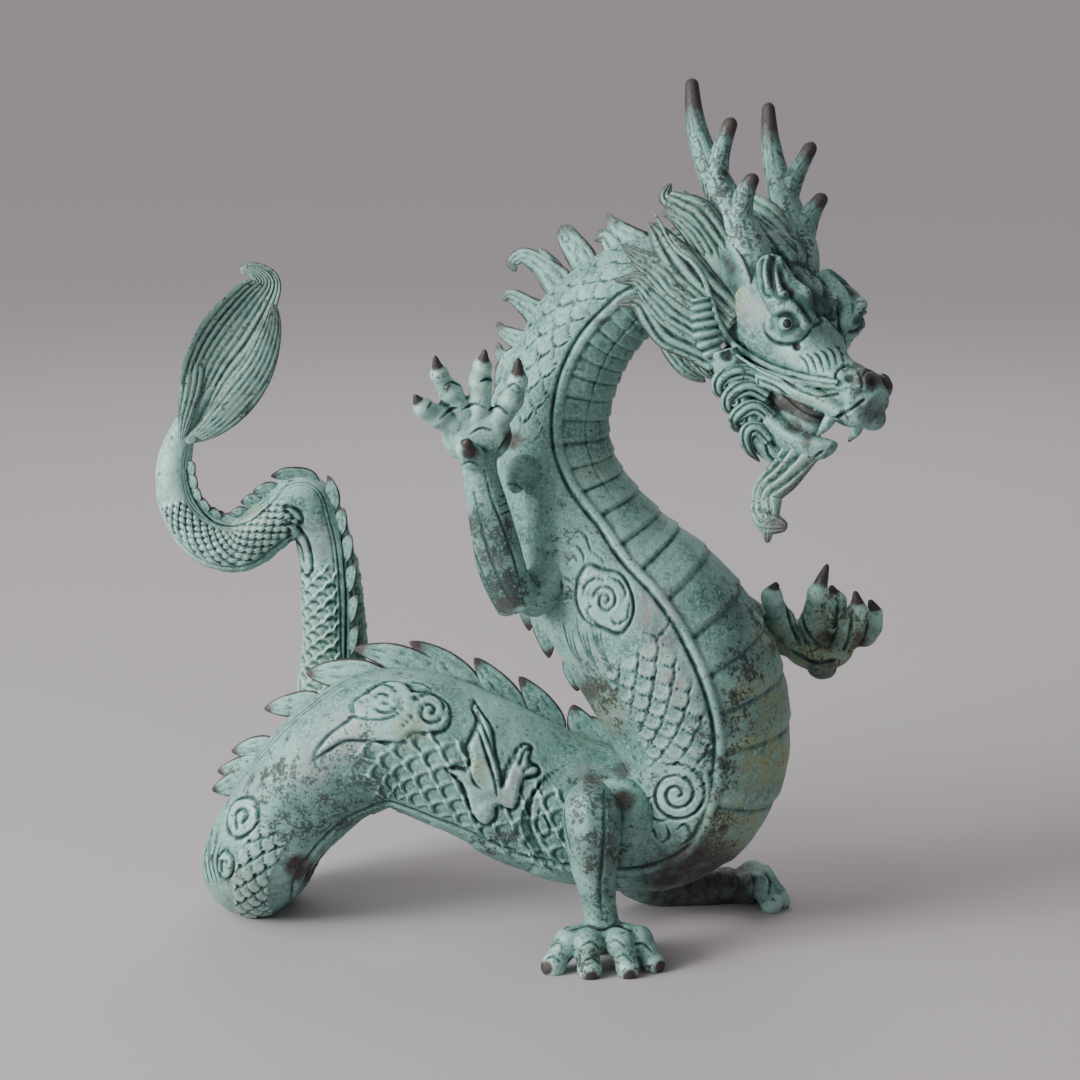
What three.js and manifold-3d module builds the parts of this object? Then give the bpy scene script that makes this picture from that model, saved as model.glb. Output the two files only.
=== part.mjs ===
// A dragon sculpture, one hollow bronze casting with a verdigris finish.
// Millimetres, +Z up. The head looks along +X, the shown side faces -Y.
// It stands on the near hind foot, the far hind leg and the left bend of its body.
import * as THREE from "three";
import { mergeVertices } from "three/addons/utils/BufferGeometryUtils.js";
import Module from "manifold-3d";

const wasm = await Module();
wasm.setup();

// Driving dimensions, in millimetres
const HEIGHT = 280; // from the ground to the tip of the taller horn
const CREST_THICKNESS = 2.4; // of the hooked fins along the back
const WHISKER_WIDTH = 2.4; // of the whisker that trails back over the cheek
const SCROLL_WIDTH = 2.6; // of the raised coils on the flanks
const BORDER_STEP = 1.1; // from the rim of the belly down to its plates
const GROUND_FLAT = 0.8; // ground away under the feet and the bend

// The pose, proportions and carving are written in thousandths of the height
const SHARE = HEIGHT / 1000;
const TURN = 2 * Math.PI;
const DEGREE = Math.PI / 180;

const spot = ([x, y, z]) => new THREE.Vector3(x, y, z).multiplyScalar(SHARE);
const aim = ([x, y, z]) => new THREE.Vector3(x, y, z).normalize();
const mix = (from, to, share) => from + (to - from) * share;
const clamp = (value, low, high) => Math.min(Math.max(value, low), high);

// The spine from the neck to the tail fin: centre, radius, and the way the back faces there
const SPINE = [
  [186, -40, 786, 42, 0.1, 0.34, 0.94],
  [119, -18, 772, 50, -0.35, 0.34, 0.87],
  [87, -8, 751, 56, -0.54, 0.34, 0.77],
  [54, 0, 716, 61, -0.72, 0.34, 0.6],
  [30, 4, 667, 63, -0.88, 0.34, 0.32],
  [18, 6, 602, 63, -0.94, 0.34, -0.05],
  [29, 6, 530, 74, -0.85, 0.34, -0.4],
  [70, 0, 447, 95, -0.72, 0.34, -0.6],
  [133, -6, 370, 111, -0.83, 0.34, -0.44],
  [178, -8, 289, 110, -0.93, 0.34, -0.13],
  [186, -6, 210, 101, -0.92, 0.34, 0.2],
  [151, 0, 152, 92, -0.59, 0.31, 0.75],
  [82, 0, 141, 86, -0.03, 0.31, 0.95],
  [4, 0, 162, 87, 0.29, 0.34, 0.89],
  [-82, 0, 207, 86, 0.35, 0.34, 0.87],
  [-165, 0, 236, 84, -0.03, 0.34, 0.94],
  [-231, 0, 214, 77, -0.54, 0.34, 0.77],
  [-283, 4, 164, 69, -0.75, 0.36, 0.55],
  [-323, 18, 108, 64, -0.88, 0.3, 0.3],
  [-344, 64, 61, 61, -0.97, 0.1, 0.1],
  [-326, 118, 62, 56, -0.5, 0.75, -0.4],
  [-294, 146, 115, 50, 0.1, 1, -0.1],
  [-265, 152, 199, 44, 0.85, 0.3, -0.1],
  [-250, 146, 300, 38, 0.67, -0.74, -0.02],
  [-251, 138, 383, 35, 0.67, -0.74, 0.02],
  [-260, 132, 455, 32, 0.74, -0.64, 0.2],
  [-282, 127, 496, 32, 0.16, -0.34, 0.93],
  [-316, 124, 469, 32, -0.61, -0.14, 0.78],
  [-357, 124, 439, 31, -0.17, -0.1, 0.98],
  [-399, 126, 449, 30, 0.5, -0.14, 0.86],
  [-427, 128, 487, 25, 0.82, -0.42, 0.38],
  [-434, 128, 531, 21, 0.88, -0.47, 0],
  [-425, 126, 571, 17, 0.82, -0.42, -0.38],
  [-405, 124, 605, 12, 0.81, -0.17, -0.56],
  [-384, 122, 635, 6, 0.79, 0, -0.62],
];
const SPINE_END = SPINE.length - 1;

// Angles round the body, in degrees from the back: the first two are the crest's tip and root
const GIRTH = [0, 0, 42, 80, 116, 126, 154, 180];
const PLATE_FROM = 126;
const PLATED_RADIUS = 60; // a thinner body has a shallower step

// Height of the crest at stations along the spine
const CREST_HEIGHTS = [
  [0, 0],
  [1, 38],
  [3, 42],
  [5, 34],
  [9, 26],
  [10.4, 22],
  [11, 0],
  [11.8, 0],
  [12.4, 24],
  [16, 26],
  [18, 12],
  [22, 12],
  [24, 17],
  [SPINE_END, 6],
];
const CREST_LEAN = 0.4; // of a fin's length, towards the tail

const smooth = (points) => new THREE.CatmullRomCurve3(points, false, "catmullrom");
const spineCentres = smooth(SPINE.map((row) => spot(row)));
const spineRadii = smooth(SPINE.map((row) => new THREE.Vector3(row[3] * SHARE, 0, 0)));
const spineBacks = smooth(SPINE.map((row) => aim(row.slice(4))));

// The frame of the body at a station: its centre, the ways along, back and side, and its radius
function bodyFrame(station) {
  const share = clamp(station / SPINE_END, 0, 1);
  const along = spineCentres.getTangent(share);
  const back = spineBacks.getPoint(share);
  back.addScaledVector(along, -back.dot(along)).normalize();
  const side = new THREE.Vector3().crossVectors(along, back);
  const centre = spineCentres.getPoint(share);
  return { centre, along, back, side, radius: spineRadii.getPoint(share).x };
}

// How sharply the body bends at a station, as a vector towards the inside of the bend
function bodyBend(station) {
  const step = 0.35;
  const before = bodyFrame(station - step);
  const after = bodyFrame(station + step);
  const length = Math.max(before.centre.distanceTo(after.centre), SHARE);
  return after.along.sub(before.along).divideScalar(length);
}

// How far the body runs from one station to the next
function bodyPace(station) {
  const step = 0.05;
  return bodyFrame(station).centre.distanceTo(bodyFrame(station + step).centre) / step;
}

function crestHeight(station) {
  const later = CREST_HEIGHTS.findIndex((row) => row[0] > station);
  if (later < 1) {
    return 0;
  }
  const [from, low] = CREST_HEIGHTS[later - 1];
  const [to, high] = CREST_HEIGHTS[later];
  return mix(low, high, (station - from) / (to - from)) * SHARE;
}

// Rings of the body: a low one where a belly plate and a fin of the crest start, and a high one
// where they end, so that the plates lap and the fins are hooked
const PLATE_LENGTH = 0.56; // of the radius
const PLATE_LEAST = 31;
const PLATE_LAP = 0.8; // of a plate's length, where its low edge ends
const PLATE_END_STEP = 0.15; // of the border's step, at a plate's high edge
const CREST_VALLEY = 0.12; // of a fin's height, between two fins
function bodyRings() {
  const rings = [];
  let station = 0;
  while (station < SPINE_END) {
    const length = Math.max(PLATE_LENGTH * bodyFrame(station).radius, PLATE_LEAST * SHARE);
    const next = Math.min(station + length / bodyPace(station), SPINE_END);
    const high = mix(station, next, PLATE_LAP);
    const valley = CREST_VALLEY * crestHeight(station);
    rings.push({ station, step: 1, rise: valley, lean: 0 });
    const lean = CREST_LEAN * length;
    rings.push({ station: high, step: PLATE_END_STEP, rise: crestHeight(high), lean });
    station = next;
  }
  rings.push({ station: SPINE_END, step: 0, rise: 0, lean: 0 });
  return rings;
}

// The skin of the body at a station and an angle, raised by a height
const BEND_LIMIT = 0.86; // of the bend's own radius, so that its inside never folds over
function skin(station, angle, height = 0) {
  const frame = bodyFrame(station);
  const way = frame.back.clone().multiplyScalar(Math.cos(angle));
  way.addScaledVector(frame.side, Math.sin(angle));
  const bend = bodyBend(station).dot(way);
  const most = bend > 0 ? BEND_LIMIT / bend : Infinity;
  const reach = Math.min(frame.radius + height, most);
  return frame.centre.clone().addScaledVector(way, reach);
}

// A mesh becomes a solid once its shared corners are merged
function solid(geometry) {
  geometry.deleteAttribute("normal");
  geometry.deleteAttribute("uv");
  const welded = mergeVertices(geometry);
  const vertProperties = new Float32Array(welded.attributes.position.array);
  const triVerts = new Uint32Array(welded.index.array);
  return new wasm.Manifold(new wasm.Mesh({ numProp: 3, vertProperties, triVerts }));
}

// Moves each point of an upright cylinder: place takes its share of the length, its angle and its reach
function shaped(sides, rings, place) {
  const geometry = new THREE.CylinderGeometry(1, 1, 1, sides, rings);
  const position = geometry.attributes.position;
  for (let i = 0; i < position.count; i += 1) {
    const across = position.getX(i);
    const up = position.getZ(i);
    const share = position.getY(i) + 0.5;
    const reach = Math.hypot(across, up) > 0.5 ? 1 : 0;
    const point = place(share, Math.atan2(across, up), reach);
    position.setXYZ(i, point.x, point.y, point.z);
  }
  return geometry;
}

// The body: round, with a crest of hooked fins along the back, a rim on each side of the belly
// and plates that lap towards the tail
function body() {
  const rows = bodyRings();
  const rings = rows.length - 1;
  const sides = 2 * (GIRTH.length - 1);
  const geometry = shaped(sides, rings, (share, angle, reach) => {
    const { station, step, rise, lean } = rows[Math.round(share * rings)];
    const { centre, along, radius } = bodyFrame(station);
    if (reach === 0) {
      return centre;
    }
    const corner = Math.round((angle / TURN) * sides);
    const side = Math.sign(corner);
    if (corner === 0) {
      return skin(station, 0, rise).addScaledVector(along, lean);
    }
    if (Math.abs(corner) === 1) {
      return skin(station, side * Math.asin(CREST_THICKNESS / (2 * radius)));
    }
    const girth = GIRTH[Math.abs(corner)];
    const plates = girth >= PLATE_FROM;
    const fade = Math.min(radius / (PLATED_RADIUS * SHARE), 1);
    return skin(station, side * girth * DEGREE, plates ? -step * BORDER_STEP * fade : 0);
  });
  return solid(geometry);
}

// A tapered bar through hand-set points; facing is the way its thickness is measured
function bar(points, radii, { sides = 6, rings = 8, facing = [0, -1, 0], flat = 1 } = {}) {
  const path = smooth(points.map(spot));
  const widths = smooth(radii.map((radius) => new THREE.Vector3(radius * SHARE, 0, 0)));
  const face = aim(facing);
  const geometry = shaped(sides, rings, (share, angle, reach) => {
    const along = path.getTangent(share);
    const up = face.clone().addScaledVector(along, -face.dot(along)).normalize();
    const side = new THREE.Vector3().crossVectors(along, up);
    const radius = widths.getPoint(share).x * reach;
    return path
      .getPoint(share)
      .addScaledVector(up, Math.cos(angle) * radius * flat)
      .addScaledVector(side, Math.sin(angle) * radius);
  });
  return solid(geometry);
}

// An oval lump with its own half sizes along the three ways of a frame
function lump(centre, [x, y, z], sizes, detail = [7, 5]) {
  const geometry = new THREE.SphereGeometry(1, ...detail);
  const ways = new THREE.Matrix4().makeBasis(
    x.clone().multiplyScalar(sizes[0] * SHARE),
    y.clone().multiplyScalar(sizes[1] * SHARE),
    z.clone().multiplyScalar(sizes[2] * SHARE),
  );
  geometry.applyMatrix4(ways.setPosition(centre));
  return solid(geometry);
}

// The tail fin: a cupped leaf with ribs that run from the tail to its curled tip
const FIN_RIM = [
  [-404, 124, 592, 14, 8],
  [-402, 120, 625, 25, 6],
  [-385, 115, 665, 34, 5],
  [-361, 112, 700, 38, 5],
  [-335, 113, 735, 30, 5],
  [-320, 114, 757, 17, 5],
  [-334, 112, 772, 9, 5],
  [-348, 111, 770, 4, 4],
];
function tailFin() {
  const path = smooth(FIN_RIM.map((row) => spot(row)));
  const sizes = smooth(FIN_RIM.map((row) => new THREE.Vector3(row[3], row[4], 0).multiplyScalar(SHARE)));
  const face = aim([0.25, -0.95, -0.1]);
  const cup = 0.35;
  const geometry = shaped(10, 10, (share, angle, reach) => {
    const along = path.getTangent(share);
    const up = face.clone().addScaledVector(along, -face.dot(along)).normalize();
    const side = new THREE.Vector3().crossVectors(along, up);
    const size = sizes.getPoint(share);
    const across = Math.sin(angle) * reach;
    const rise = Math.cos(angle) * size.y * reach + cup * across * across * size.x;
    return path.getPoint(share).addScaledVector(side, across * size.x).addScaledVector(up, rise);
  });
  return solid(geometry);
}

// Raised coils on the flanks: station, angle in degrees from the back, radius, turns and first angle
const COILS = [
  [7.75, -95, 30, 1.5, 60],
  [10.35, -88, 36, 1.6, 200],
  [14.95, -52, 27, 1.5, 150],
  [14.3, -58, 24, 1.5, 330],
];
const COIL_END = 0.16; // of its radius, at the inner end of a coil
const COIL_STEPS = 7; // for each turn
const COIL_TAPER = 0.75; // of its width, at both ends
const COIL_SUNK = 0.2; // of its width, from the middle of the coil to the skin
function coil([station, degrees, radius, turns, first]) {
  const frame = bodyFrame(station);
  const pace = bodyPace(station);
  const centre = degrees * DEGREE;
  const steps = Math.round(COIL_STEPS * turns);
  const points = [];
  for (let i = 0; i <= steps; i += 1) {
    const share = i / steps;
    const angle = first * DEGREE + share * turns * TURN;
    const reach = mix(1, COIL_END, share) * radius * SHARE;
    const shift = (Math.cos(angle) * reach) / pace;
    const swing = (Math.sin(angle) * reach) / frame.radius;
    points.push(skin(station + shift, centre + swing, COIL_SUNK * SCROLL_WIDTH));
  }
  const path = smooth(points);
  const geometry = shaped(4, steps, (share, angle, reach) => {
    const along = path.getTangent(share);
    const out = path.getPoint(share).sub(frame.centre);
    out.addScaledVector(along, -out.dot(along)).normalize();
    const side = new THREE.Vector3().crossVectors(along, out);
    const half = (SCROLL_WIDTH / 2) * mix(COIL_TAPER, 1, Math.sin(share * Math.PI)) * reach;
    return path
      .getPoint(share)
      .addScaledVector(out, Math.cos(angle) * half)
      .addScaledVector(side, Math.sin(angle) * half);
  });
  return solid(geometry);
}

// A finger or toe: it leaves the palm, rises over a knuckle and ends in a claw
function digit(points, radius, facing) {
  const radii = [radius, 1.12 * radius, 0.85 * radius, 0.12 * radius];
  return bar(points, radii, { sides: 5, rings: 4, facing });
}

// The near hind leg stands upright under the hip with a domed knee
function nearLeg() {
  const thigh = [[108, -34, 118], [92, -68, 166], [72, -94, 182]];
  const knee = [[60, -104, 216], [58, -108, 194], [59, -112, 166]];
  const shin = [...knee, [61, -117, 122], [67, -121, 76], [73, -122, 34]];
  const ankle = [73, -124, 40];
  const toes = [
    [[70, -122, 40], [34, -136, 36], [15, -146, 11], [4, -152, 4]],
    [[72, -126, 40], [54, -144, 36], [56, -160, 11], [58, -172, 4]],
    [[76, -126, 40], [92, -144, 36], [99, -158, 11], [104, -169, 4]],
    [[80, -122, 40], [112, -132, 36], [128, -139, 11], [139, -145, 4]],
    [[74, -112, 38], [66, -94, 32], [60, -80, 11], [57, -70, 4]],
  ];
  return [
    bar(thigh, [42, 42, 28], { sides: 7, rings: 3, facing: [1, 0, 0] }),
    bar(shin, [12, 30, 33, 27, 20, 19], { sides: 8, rings: 8, facing: [1, 0, 0] }),
    lump(spot(ankle), AXES, [25, 22, 17]),
    ...toes.map((points) => digit(points, 13, [0.3, 0.3, 1])),
  ];
}

// The far hind leg kneels: it lies along the ground and points the way the head looks
function farLeg() {
  const shin = [[110, 62, 70], [126, 84, 38], [165, 96, 22], [212, 98, 23], [246, 96, 28]];
  const toes = [
    [[242, 88, 28], [260, 74, 34], [278, 66, 12], [288, 60, 4]],
    [[246, 94, 28], [270, 88, 34], [290, 82, 12], [302, 78, 4]],
    [[246, 100, 28], [268, 102, 34], [288, 104, 12], [300, 106, 4]],
    [[242, 104, 28], [258, 116, 34], [274, 126, 12], [282, 134, 4]],
  ];
  return [
    bar(shin, [40, 30, 23, 21, 20], { sides: 7, rings: 7, facing: [0, 0, 1] }),
    lump(spot([248, 96, 22]), AXES, [22, 24, 18]),
    ...toes.map((points) => digit(points, 12.5, [0, 0.3, 1])),
  ];
}

// The near arm is raised: the elbow points down and back, the palm is open to the viewer
function nearArm() {
  const upper = [[52, -58, 470], [16, -80, 436], [-28, -92, 420]];
  const fore = [[-24, -92, 416], [-42, -98, 462], [-55, -102, 520], [-66, -102, 570], [-70, -101, 604]];
  const fingers = [
    [[-88, -102, 618], [-112, -112, 636], [-128, -126, 650], [-136, -140, 662]],
    [[-82, -102, 632], [-98, -108, 662], [-110, -122, 680], [-116, -142, 690]],
    [[-66, -102, 634], [-66, -108, 674], [-62, -122, 694], [-62, -142, 702]],
    [[-48, -102, 624], [-32, -106, 654], [-25, -118, 676], [-28, -138, 692]],
    [[-64, -108, 584], [-74, -126, 592], [-80, -142, 604], [-78, -154, 618]],
  ];
  const spur = [[-8, -40, 560], [-22, -58, 566], [-30, -66, 540]];
  return [
    bar(upper, [30, 29, 27], { sides: 7, rings: 4 }),
    bar(fore, [27, 28, 24, 20, 24], { sides: 7, rings: 7 }),
    lump(spot([-70, -100, 612]), AXES, [38, 17, 32]),
    bar(spur, [18, 16, 10], { sides: 5, rings: 3, facing: [1, 0, 0] }),
    ...fingers.map((points) => digit(points, 12, [1, 0.1, 0])),
  ];
}

// The far arm reaches forward past the belly with its claws turned up
function farArm() {
  const arm = [[170, 70, 400], [230, 84, 366], [282, 90, 340], [322, 90, 330]];
  const fingers = [
    [[298, 84, 328], [284, 68, 362], [272, 58, 392], [278, 54, 412]],
    [[328, 78, 336], [322, 62, 362], [326, 58, 396], [337, 58, 434]],
    [[348, 84, 330], [366, 70, 348], [374, 66, 372], [370, 64, 400]],
    [[356, 94, 332], [384, 92, 340], [398, 90, 358], [390, 88, 384]],
    [[340, 104, 330], [352, 116, 348], [354, 120, 372], [346, 116, 394]],
  ];
  return [
    bar(arm, [34, 28, 23, 26], { sides: 7, rings: 6 }),
    lump(spot([332, 90, 322]), AXES, [38, 28, 22]),
    ...fingers.map((points) => digit(points, 12.5, [0.6, 0.2, 0.1])),
  ];
}

const AXES = [new THREE.Vector3(1, 0, 0), new THREE.Vector3(0, 1, 0), new THREE.Vector3(0, 0, 1)];

// The head has its own frame between the eyes: forward along the snout, side to its right, and up
const HEAD_AT = [306, -95, 735];
const HEAD_TURN = 50; // towards the viewer, in degrees
const HEAD_BOW = 22;
const HEAD_ROLL = 15;
const headFrame = new THREE.Matrix4().makeRotationFromEuler(
  new THREE.Euler(-HEAD_ROLL * DEGREE, HEAD_BOW * DEGREE, -HEAD_TURN * DEGREE, "ZYX"),
);
const headAxis = (x, y, z) => new THREE.Vector3(x, y, z).applyMatrix4(headFrame);
const FORWARD = headAxis(1, 0, 0);
const RIGHT = headAxis(0, -1, 0);
const CROWN = headAxis(0, 0, 1);

// A point of the head, in thousandths: forward, to its right and up
function headSpot([forward, right, up]) {
  return [
    HEAD_AT[0] + FORWARD.x * forward + RIGHT.x * right + CROWN.x * up,
    HEAD_AT[1] + FORWARD.y * forward + RIGHT.y * right + CROWN.y * up,
    HEAD_AT[2] + FORWARD.z * forward + RIGHT.z * right + CROWN.z * up,
  ];
}
const headWay = ([forward, right, up]) => [
  FORWARD.x * forward + RIGHT.x * right + CROWN.x * up,
  FORWARD.y * forward + RIGHT.y * right + CROWN.y * up,
  FORWARD.z * forward + RIGHT.z * right + CROWN.z * up,
];

// A bar of the head, and the same one mirrored for its other side
function headBar(points, radii, options = {}) {
  const facing = headWay(options.facing ?? [0, 1, 0]);
  return bar(points.map(headSpot), radii, { ...options, facing });
}
const mirrored = ([forward, right, up]) => [forward, -right, up];
function headPair(points, radii, options = {}) {
  const other = { ...options, facing: mirrored(options.facing ?? [0, 1, 0]) };
  return [headBar(points, radii, options), headBar(points.map(mirrored), radii, other)];
}

// Cross-sections of the skull and of the lower jaw: forward, up, half width, rise and drop
const SKULL = [
  [-146, -30, 26, 30, 32],
  [-112, -18, 52, 52, 54],
  [-70, -10, 64, 54, 72],
  [-25, -16, 62, 46, 62],
  [12, -26, 48, 34, 42],
  [44, -34, 36, 24, 38],
  [74, -36, 32, 26, 40],
  [102, -34, 30, 26, 38],
  [122, -34, 18, 16, 24],
];
const JAW = [
  [-70, -82, 46, 26, 30],
  [-25, -98, 46, 18, 32],
  [20, -110, 36, 12, 26],
  [56, -114, 26, 10, 22],
  [84, -106, 17, 9, 17],
  [96, -100, 8, 6, 9],
];
function loft(rows, sides, rings) {
  const path = smooth(rows.map(([forward, up]) => spot(headSpot([forward, 0, up]))));
  const sizes = smooth(rows.map((row) => new THREE.Vector3(row[2], row[3], row[4]).multiplyScalar(SHARE)));
  const geometry = shaped(sides, rings, (share, angle, reach) => {
    const size = sizes.getPoint(share);
    const rise = Math.cos(angle);
    const tall = rise > 0 ? size.y : size.z;
    return path
      .getPoint(share)
      .addScaledVector(CROWN, rise * tall * reach)
      .addScaledVector(RIGHT, Math.sin(angle) * size.x * reach);
  });
  return solid(geometry);
}

function skull() {
  const ways = [RIGHT, FORWARD, CROWN];
  const at = (point) => spot(headSpot(point));
  const pieces = [loft(SKULL, 8, 9), loft(JAW, 7, 5)];
  for (const hand of [1, -1]) {
    pieces.push(
      lump(at([98, 17 * hand, -22]), ways, [15, 17, 15], [6, 4]),
      lump(at([110, 15 * hand, -52]), ways, [16, 18, 15], [6, 4]),
      lump(at([-2, 47 * hand, -8]), ways, [15, 18, 15], [6, 4]),
    );
  }
  pieces.push(lump(at([24, 0, -96]), ways, [20, 48, 12], [6, 4]));
  return pieces;
}

// Brows, ears, fangs, horns and whiskers come in pairs
function headPairs() {
  const brow = [[-66, 44, 34], [-36, 54, 24], [-10, 54, 14], [16, 30, 2]];
  const ear = [[-62, 60, -18], [-88, 72, 4], [-112, 80, 24], [-132, 84, 36]];
  const fang = [[92, 24, -62], [93, 27, -78], [90, 28, -94]];
  const horn = [[-104, 44, 34], [-132, 59, 60], [-196, 64, 94], [-236, 68, 126], [-267, 69, 162]];
  const upperBranch = [[-170, 62, 78], [-180, 68, 110], [-183, 73, 152]];
  const lowerBranch = [[-118, 56, 48], [-128, 60, 82], [-126, 63, 112]];
  const lip = [[96, 30, -30], [62, 40, -44], [14, 58, -62], [-40, 72, -64]];
  const whisker = [...lip, [-84, 76, -40], [-140, 76, 0], [-196, 62, 14]];
  const half = WHISKER_WIDTH / SHARE / 2;
  return [
    ...headPair(brow, [15, 19, 18, 10], { rings: 5, sides: 5, facing: [0, 0.4, 1] }),
    ...headPair(ear, [15, 20, 14, 2], { rings: 3, sides: 5, flat: 0.45, facing: [0.3, 1, 0] }),
    ...headPair(fang, [8, 7, 1.5], { rings: 2, sides: 5, facing: [1, 0, 0] }),
    ...headPair(horn, [25, 20, 15, 10, 5], { rings: 6, sides: 6 }),
    ...headPair(upperBranch, [13, 10, 5], { rings: 3, sides: 5 }),
    ...headPair(lowerBranch, [14, 10, 5], { rings: 3, sides: 5 }),
    ...headPair(whisker, whisker.map(() => half), { rings: 9, sides: 4, facing: [0, 1, 0] }),
  ];
}

// Locks of the mane: root, two bends and tip, with the widest half width. The near ones lie
// over the side of the neck, the far ones flow free and are written in the head's own frame.
const NEAR_LOCKS = [
  [[208, -52, 844], [186, -48, 872], [162, -40, 887], [142, -34, 882], 17],
  [[194, -78, 813], [167, -72, 841], [134, -62, 862], [108, -50, 867], 21],
  [[189, -88, 778], [156, -88, 799], [123, -82, 816], [90, -68, 822], 22],
  [[185, -90, 745], [154, -92, 764], [121, -86, 780], [88, -72, 788], 19],
  [[181, -86, 723], [152, -90, 742], [119, -84, 758], [84, -72, 760], 17],
  [[185, -86, 719], [154, -88, 728], [148, -84, 706], [180, -80, 673], 17],
  [[223, -98, 683], [201, -98, 679], [190, -96, 665], [201, -96, 656], 13],
  [[234, -102, 661], [214, -102, 659], [201, -100, 646], [214, -100, 639], 12],
  [[243, -106, 642], [225, -106, 638], [214, -104, 626], [223, -104, 619], 11],
];
const FAR_LOCKS = [
  [[-108, -26, 42], [-160, -40, 54], [-205, -50, 56], [-224, -46, 82], 21],
  [[-104, -50, 20], [-160, -70, 28], [-208, -82, 32], [-242, -78, 54], 25],
  [[-96, -60, -12], [-150, -82, -12], [-198, -96, -8], [-232, -98, 12], 26],
  [[-88, -62, -42], [-136, -84, -50], [-178, -98, -54], [-212, -102, -40], 24],
  [[-80, -58, -68], [-112, -76, -86], [-140, -88, -104], [-166, -88, -112], 20],
  [[-50, -48, -96], [-60, -60, -122], [-76, -64, -142], [-100, -60, -150], 18],
];
const BEARD = [[58, 0, -116], [54, 0, -156], [46, 0, -188], [62, 0, -212], [92, 0, -206]];
const BEARD_TUFT = [[52, 0, -190], [66, 0, -214], [78, 0, -234]];
const CROWN_LOCK = [[-110, 0, 44], [-158, 20, 46], [-196, 38, 34], [-226, 44, 46]];
function mane() {
  const lock = (points, width, facing) =>
    bar(points, [width, width, 0.8 * width, 3], { rings: 3, sides: 5, flat: 0.6, facing });
  const near = NEAR_LOCKS.map(([root, bend, turn, tip, width]) =>
    lock([root, bend, turn, tip], width, [-0.1, -1, 0.15]),
  );
  const far = FAR_LOCKS.map(([root, bend, turn, tip, width]) =>
    lock([root, bend, turn, tip].map(headSpot), width, headWay([0.3, -1, 0.1])),
  );
  return [
    ...near,
    ...far,
    headBar(CROWN_LOCK, [26, 28, 22, 3], { rings: 4, sides: 5, flat: 0.6, facing: [0.4, 0, 1] }),
    headBar(BEARD, [26, 21, 17, 14, 3], { rings: 7, sides: 5, flat: 0.7 }),
    headBar(BEARD_TUFT, [14, 10, 3], { rings: 3, sides: 5, flat: 0.8 }),
  ];
}

// Everything is cast together, then ground flat where it stands
const parts = [
  body(),
  tailFin(),
  ...COILS.map(coil),
  ...nearLeg(),
  ...farLeg(),
  ...nearArm(),
  ...farArm(),
  ...skull(),
  ...headPairs(),
  ...mane(),
];
let casting = parts[0];
for (const piece of parts.slice(1)) {
  casting = casting.add(piece);
}
const floorDepth = 0.2 * HEIGHT;
const floor = new THREE.BoxGeometry(3 * HEIGHT, 3 * HEIGHT, floorDepth);
floor.translate(0, 0, GROUND_FLAT - floorDepth / 2);
casting = casting.subtract(solid(floor));

// The origin is on the ground under the middle of the casting
const mesh = casting.getMesh();
const geometry = new THREE.BufferGeometry();
geometry.setAttribute("position", new THREE.BufferAttribute(new Float32Array(mesh.vertProperties), 3));
geometry.setIndex(new THREE.BufferAttribute(new Uint32Array(mesh.triVerts), 1));
geometry.computeBoundingBox();
const middle = geometry.boundingBox.getCenter(new THREE.Vector3());
geometry.translate(-middle.x, -middle.y, -geometry.boundingBox.min.z);
geometry.computeVertexNormals();

const bronze = new THREE.MeshStandardMaterial({ color: 0x7fa79b, roughness: 0.75, metalness: 0.25 });
const dragon = new THREE.Mesh(geometry, bronze);
dragon.name = "dragon";

const group = new THREE.Group();
group.add(dragon);

export default group;
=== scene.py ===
# The looks of a dragon sculpture: one bronze casting with a verdigris finish.
# Sizes and places are in thousandths of the height, x right, y away, z up, unless they say metres.
# Carving on the shown side is placed in pixels of the 1080 by 1080 photograph, seen by its camera,
# and repeated as a mirror image on the hidden side.
import math

import bpy
import numpy as np
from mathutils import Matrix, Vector
from mathutils.bvhtree import BVHTree


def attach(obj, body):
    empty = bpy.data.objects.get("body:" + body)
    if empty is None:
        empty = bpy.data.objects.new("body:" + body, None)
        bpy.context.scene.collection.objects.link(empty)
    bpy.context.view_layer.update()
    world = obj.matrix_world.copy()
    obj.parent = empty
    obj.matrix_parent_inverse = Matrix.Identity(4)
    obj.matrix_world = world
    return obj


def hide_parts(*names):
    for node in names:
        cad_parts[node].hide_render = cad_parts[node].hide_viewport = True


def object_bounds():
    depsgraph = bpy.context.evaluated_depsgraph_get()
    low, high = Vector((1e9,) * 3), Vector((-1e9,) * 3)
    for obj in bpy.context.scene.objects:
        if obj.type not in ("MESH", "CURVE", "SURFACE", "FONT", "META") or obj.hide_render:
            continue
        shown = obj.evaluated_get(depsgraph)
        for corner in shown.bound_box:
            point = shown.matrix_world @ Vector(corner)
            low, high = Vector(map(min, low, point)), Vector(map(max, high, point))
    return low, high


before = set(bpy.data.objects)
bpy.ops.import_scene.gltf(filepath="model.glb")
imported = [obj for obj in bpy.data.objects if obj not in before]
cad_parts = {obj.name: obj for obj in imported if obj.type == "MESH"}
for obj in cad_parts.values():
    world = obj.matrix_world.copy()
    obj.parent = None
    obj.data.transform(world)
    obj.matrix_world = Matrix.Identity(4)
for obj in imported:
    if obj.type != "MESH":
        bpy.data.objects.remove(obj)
cad_low, cad_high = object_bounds()

# The frame's box gives the size of a unit, and the origin is where the part's own origin lies
BOX_HEIGHT = 995.66
UNIT = (cad_high.z - cad_low.z) / BOX_HEIGHT
ORIGIN = np.array([-24.86, 7.11, 2.86])
MILLIMETRE = 0.001 / UNIT
DETAIL = 1.0

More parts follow.
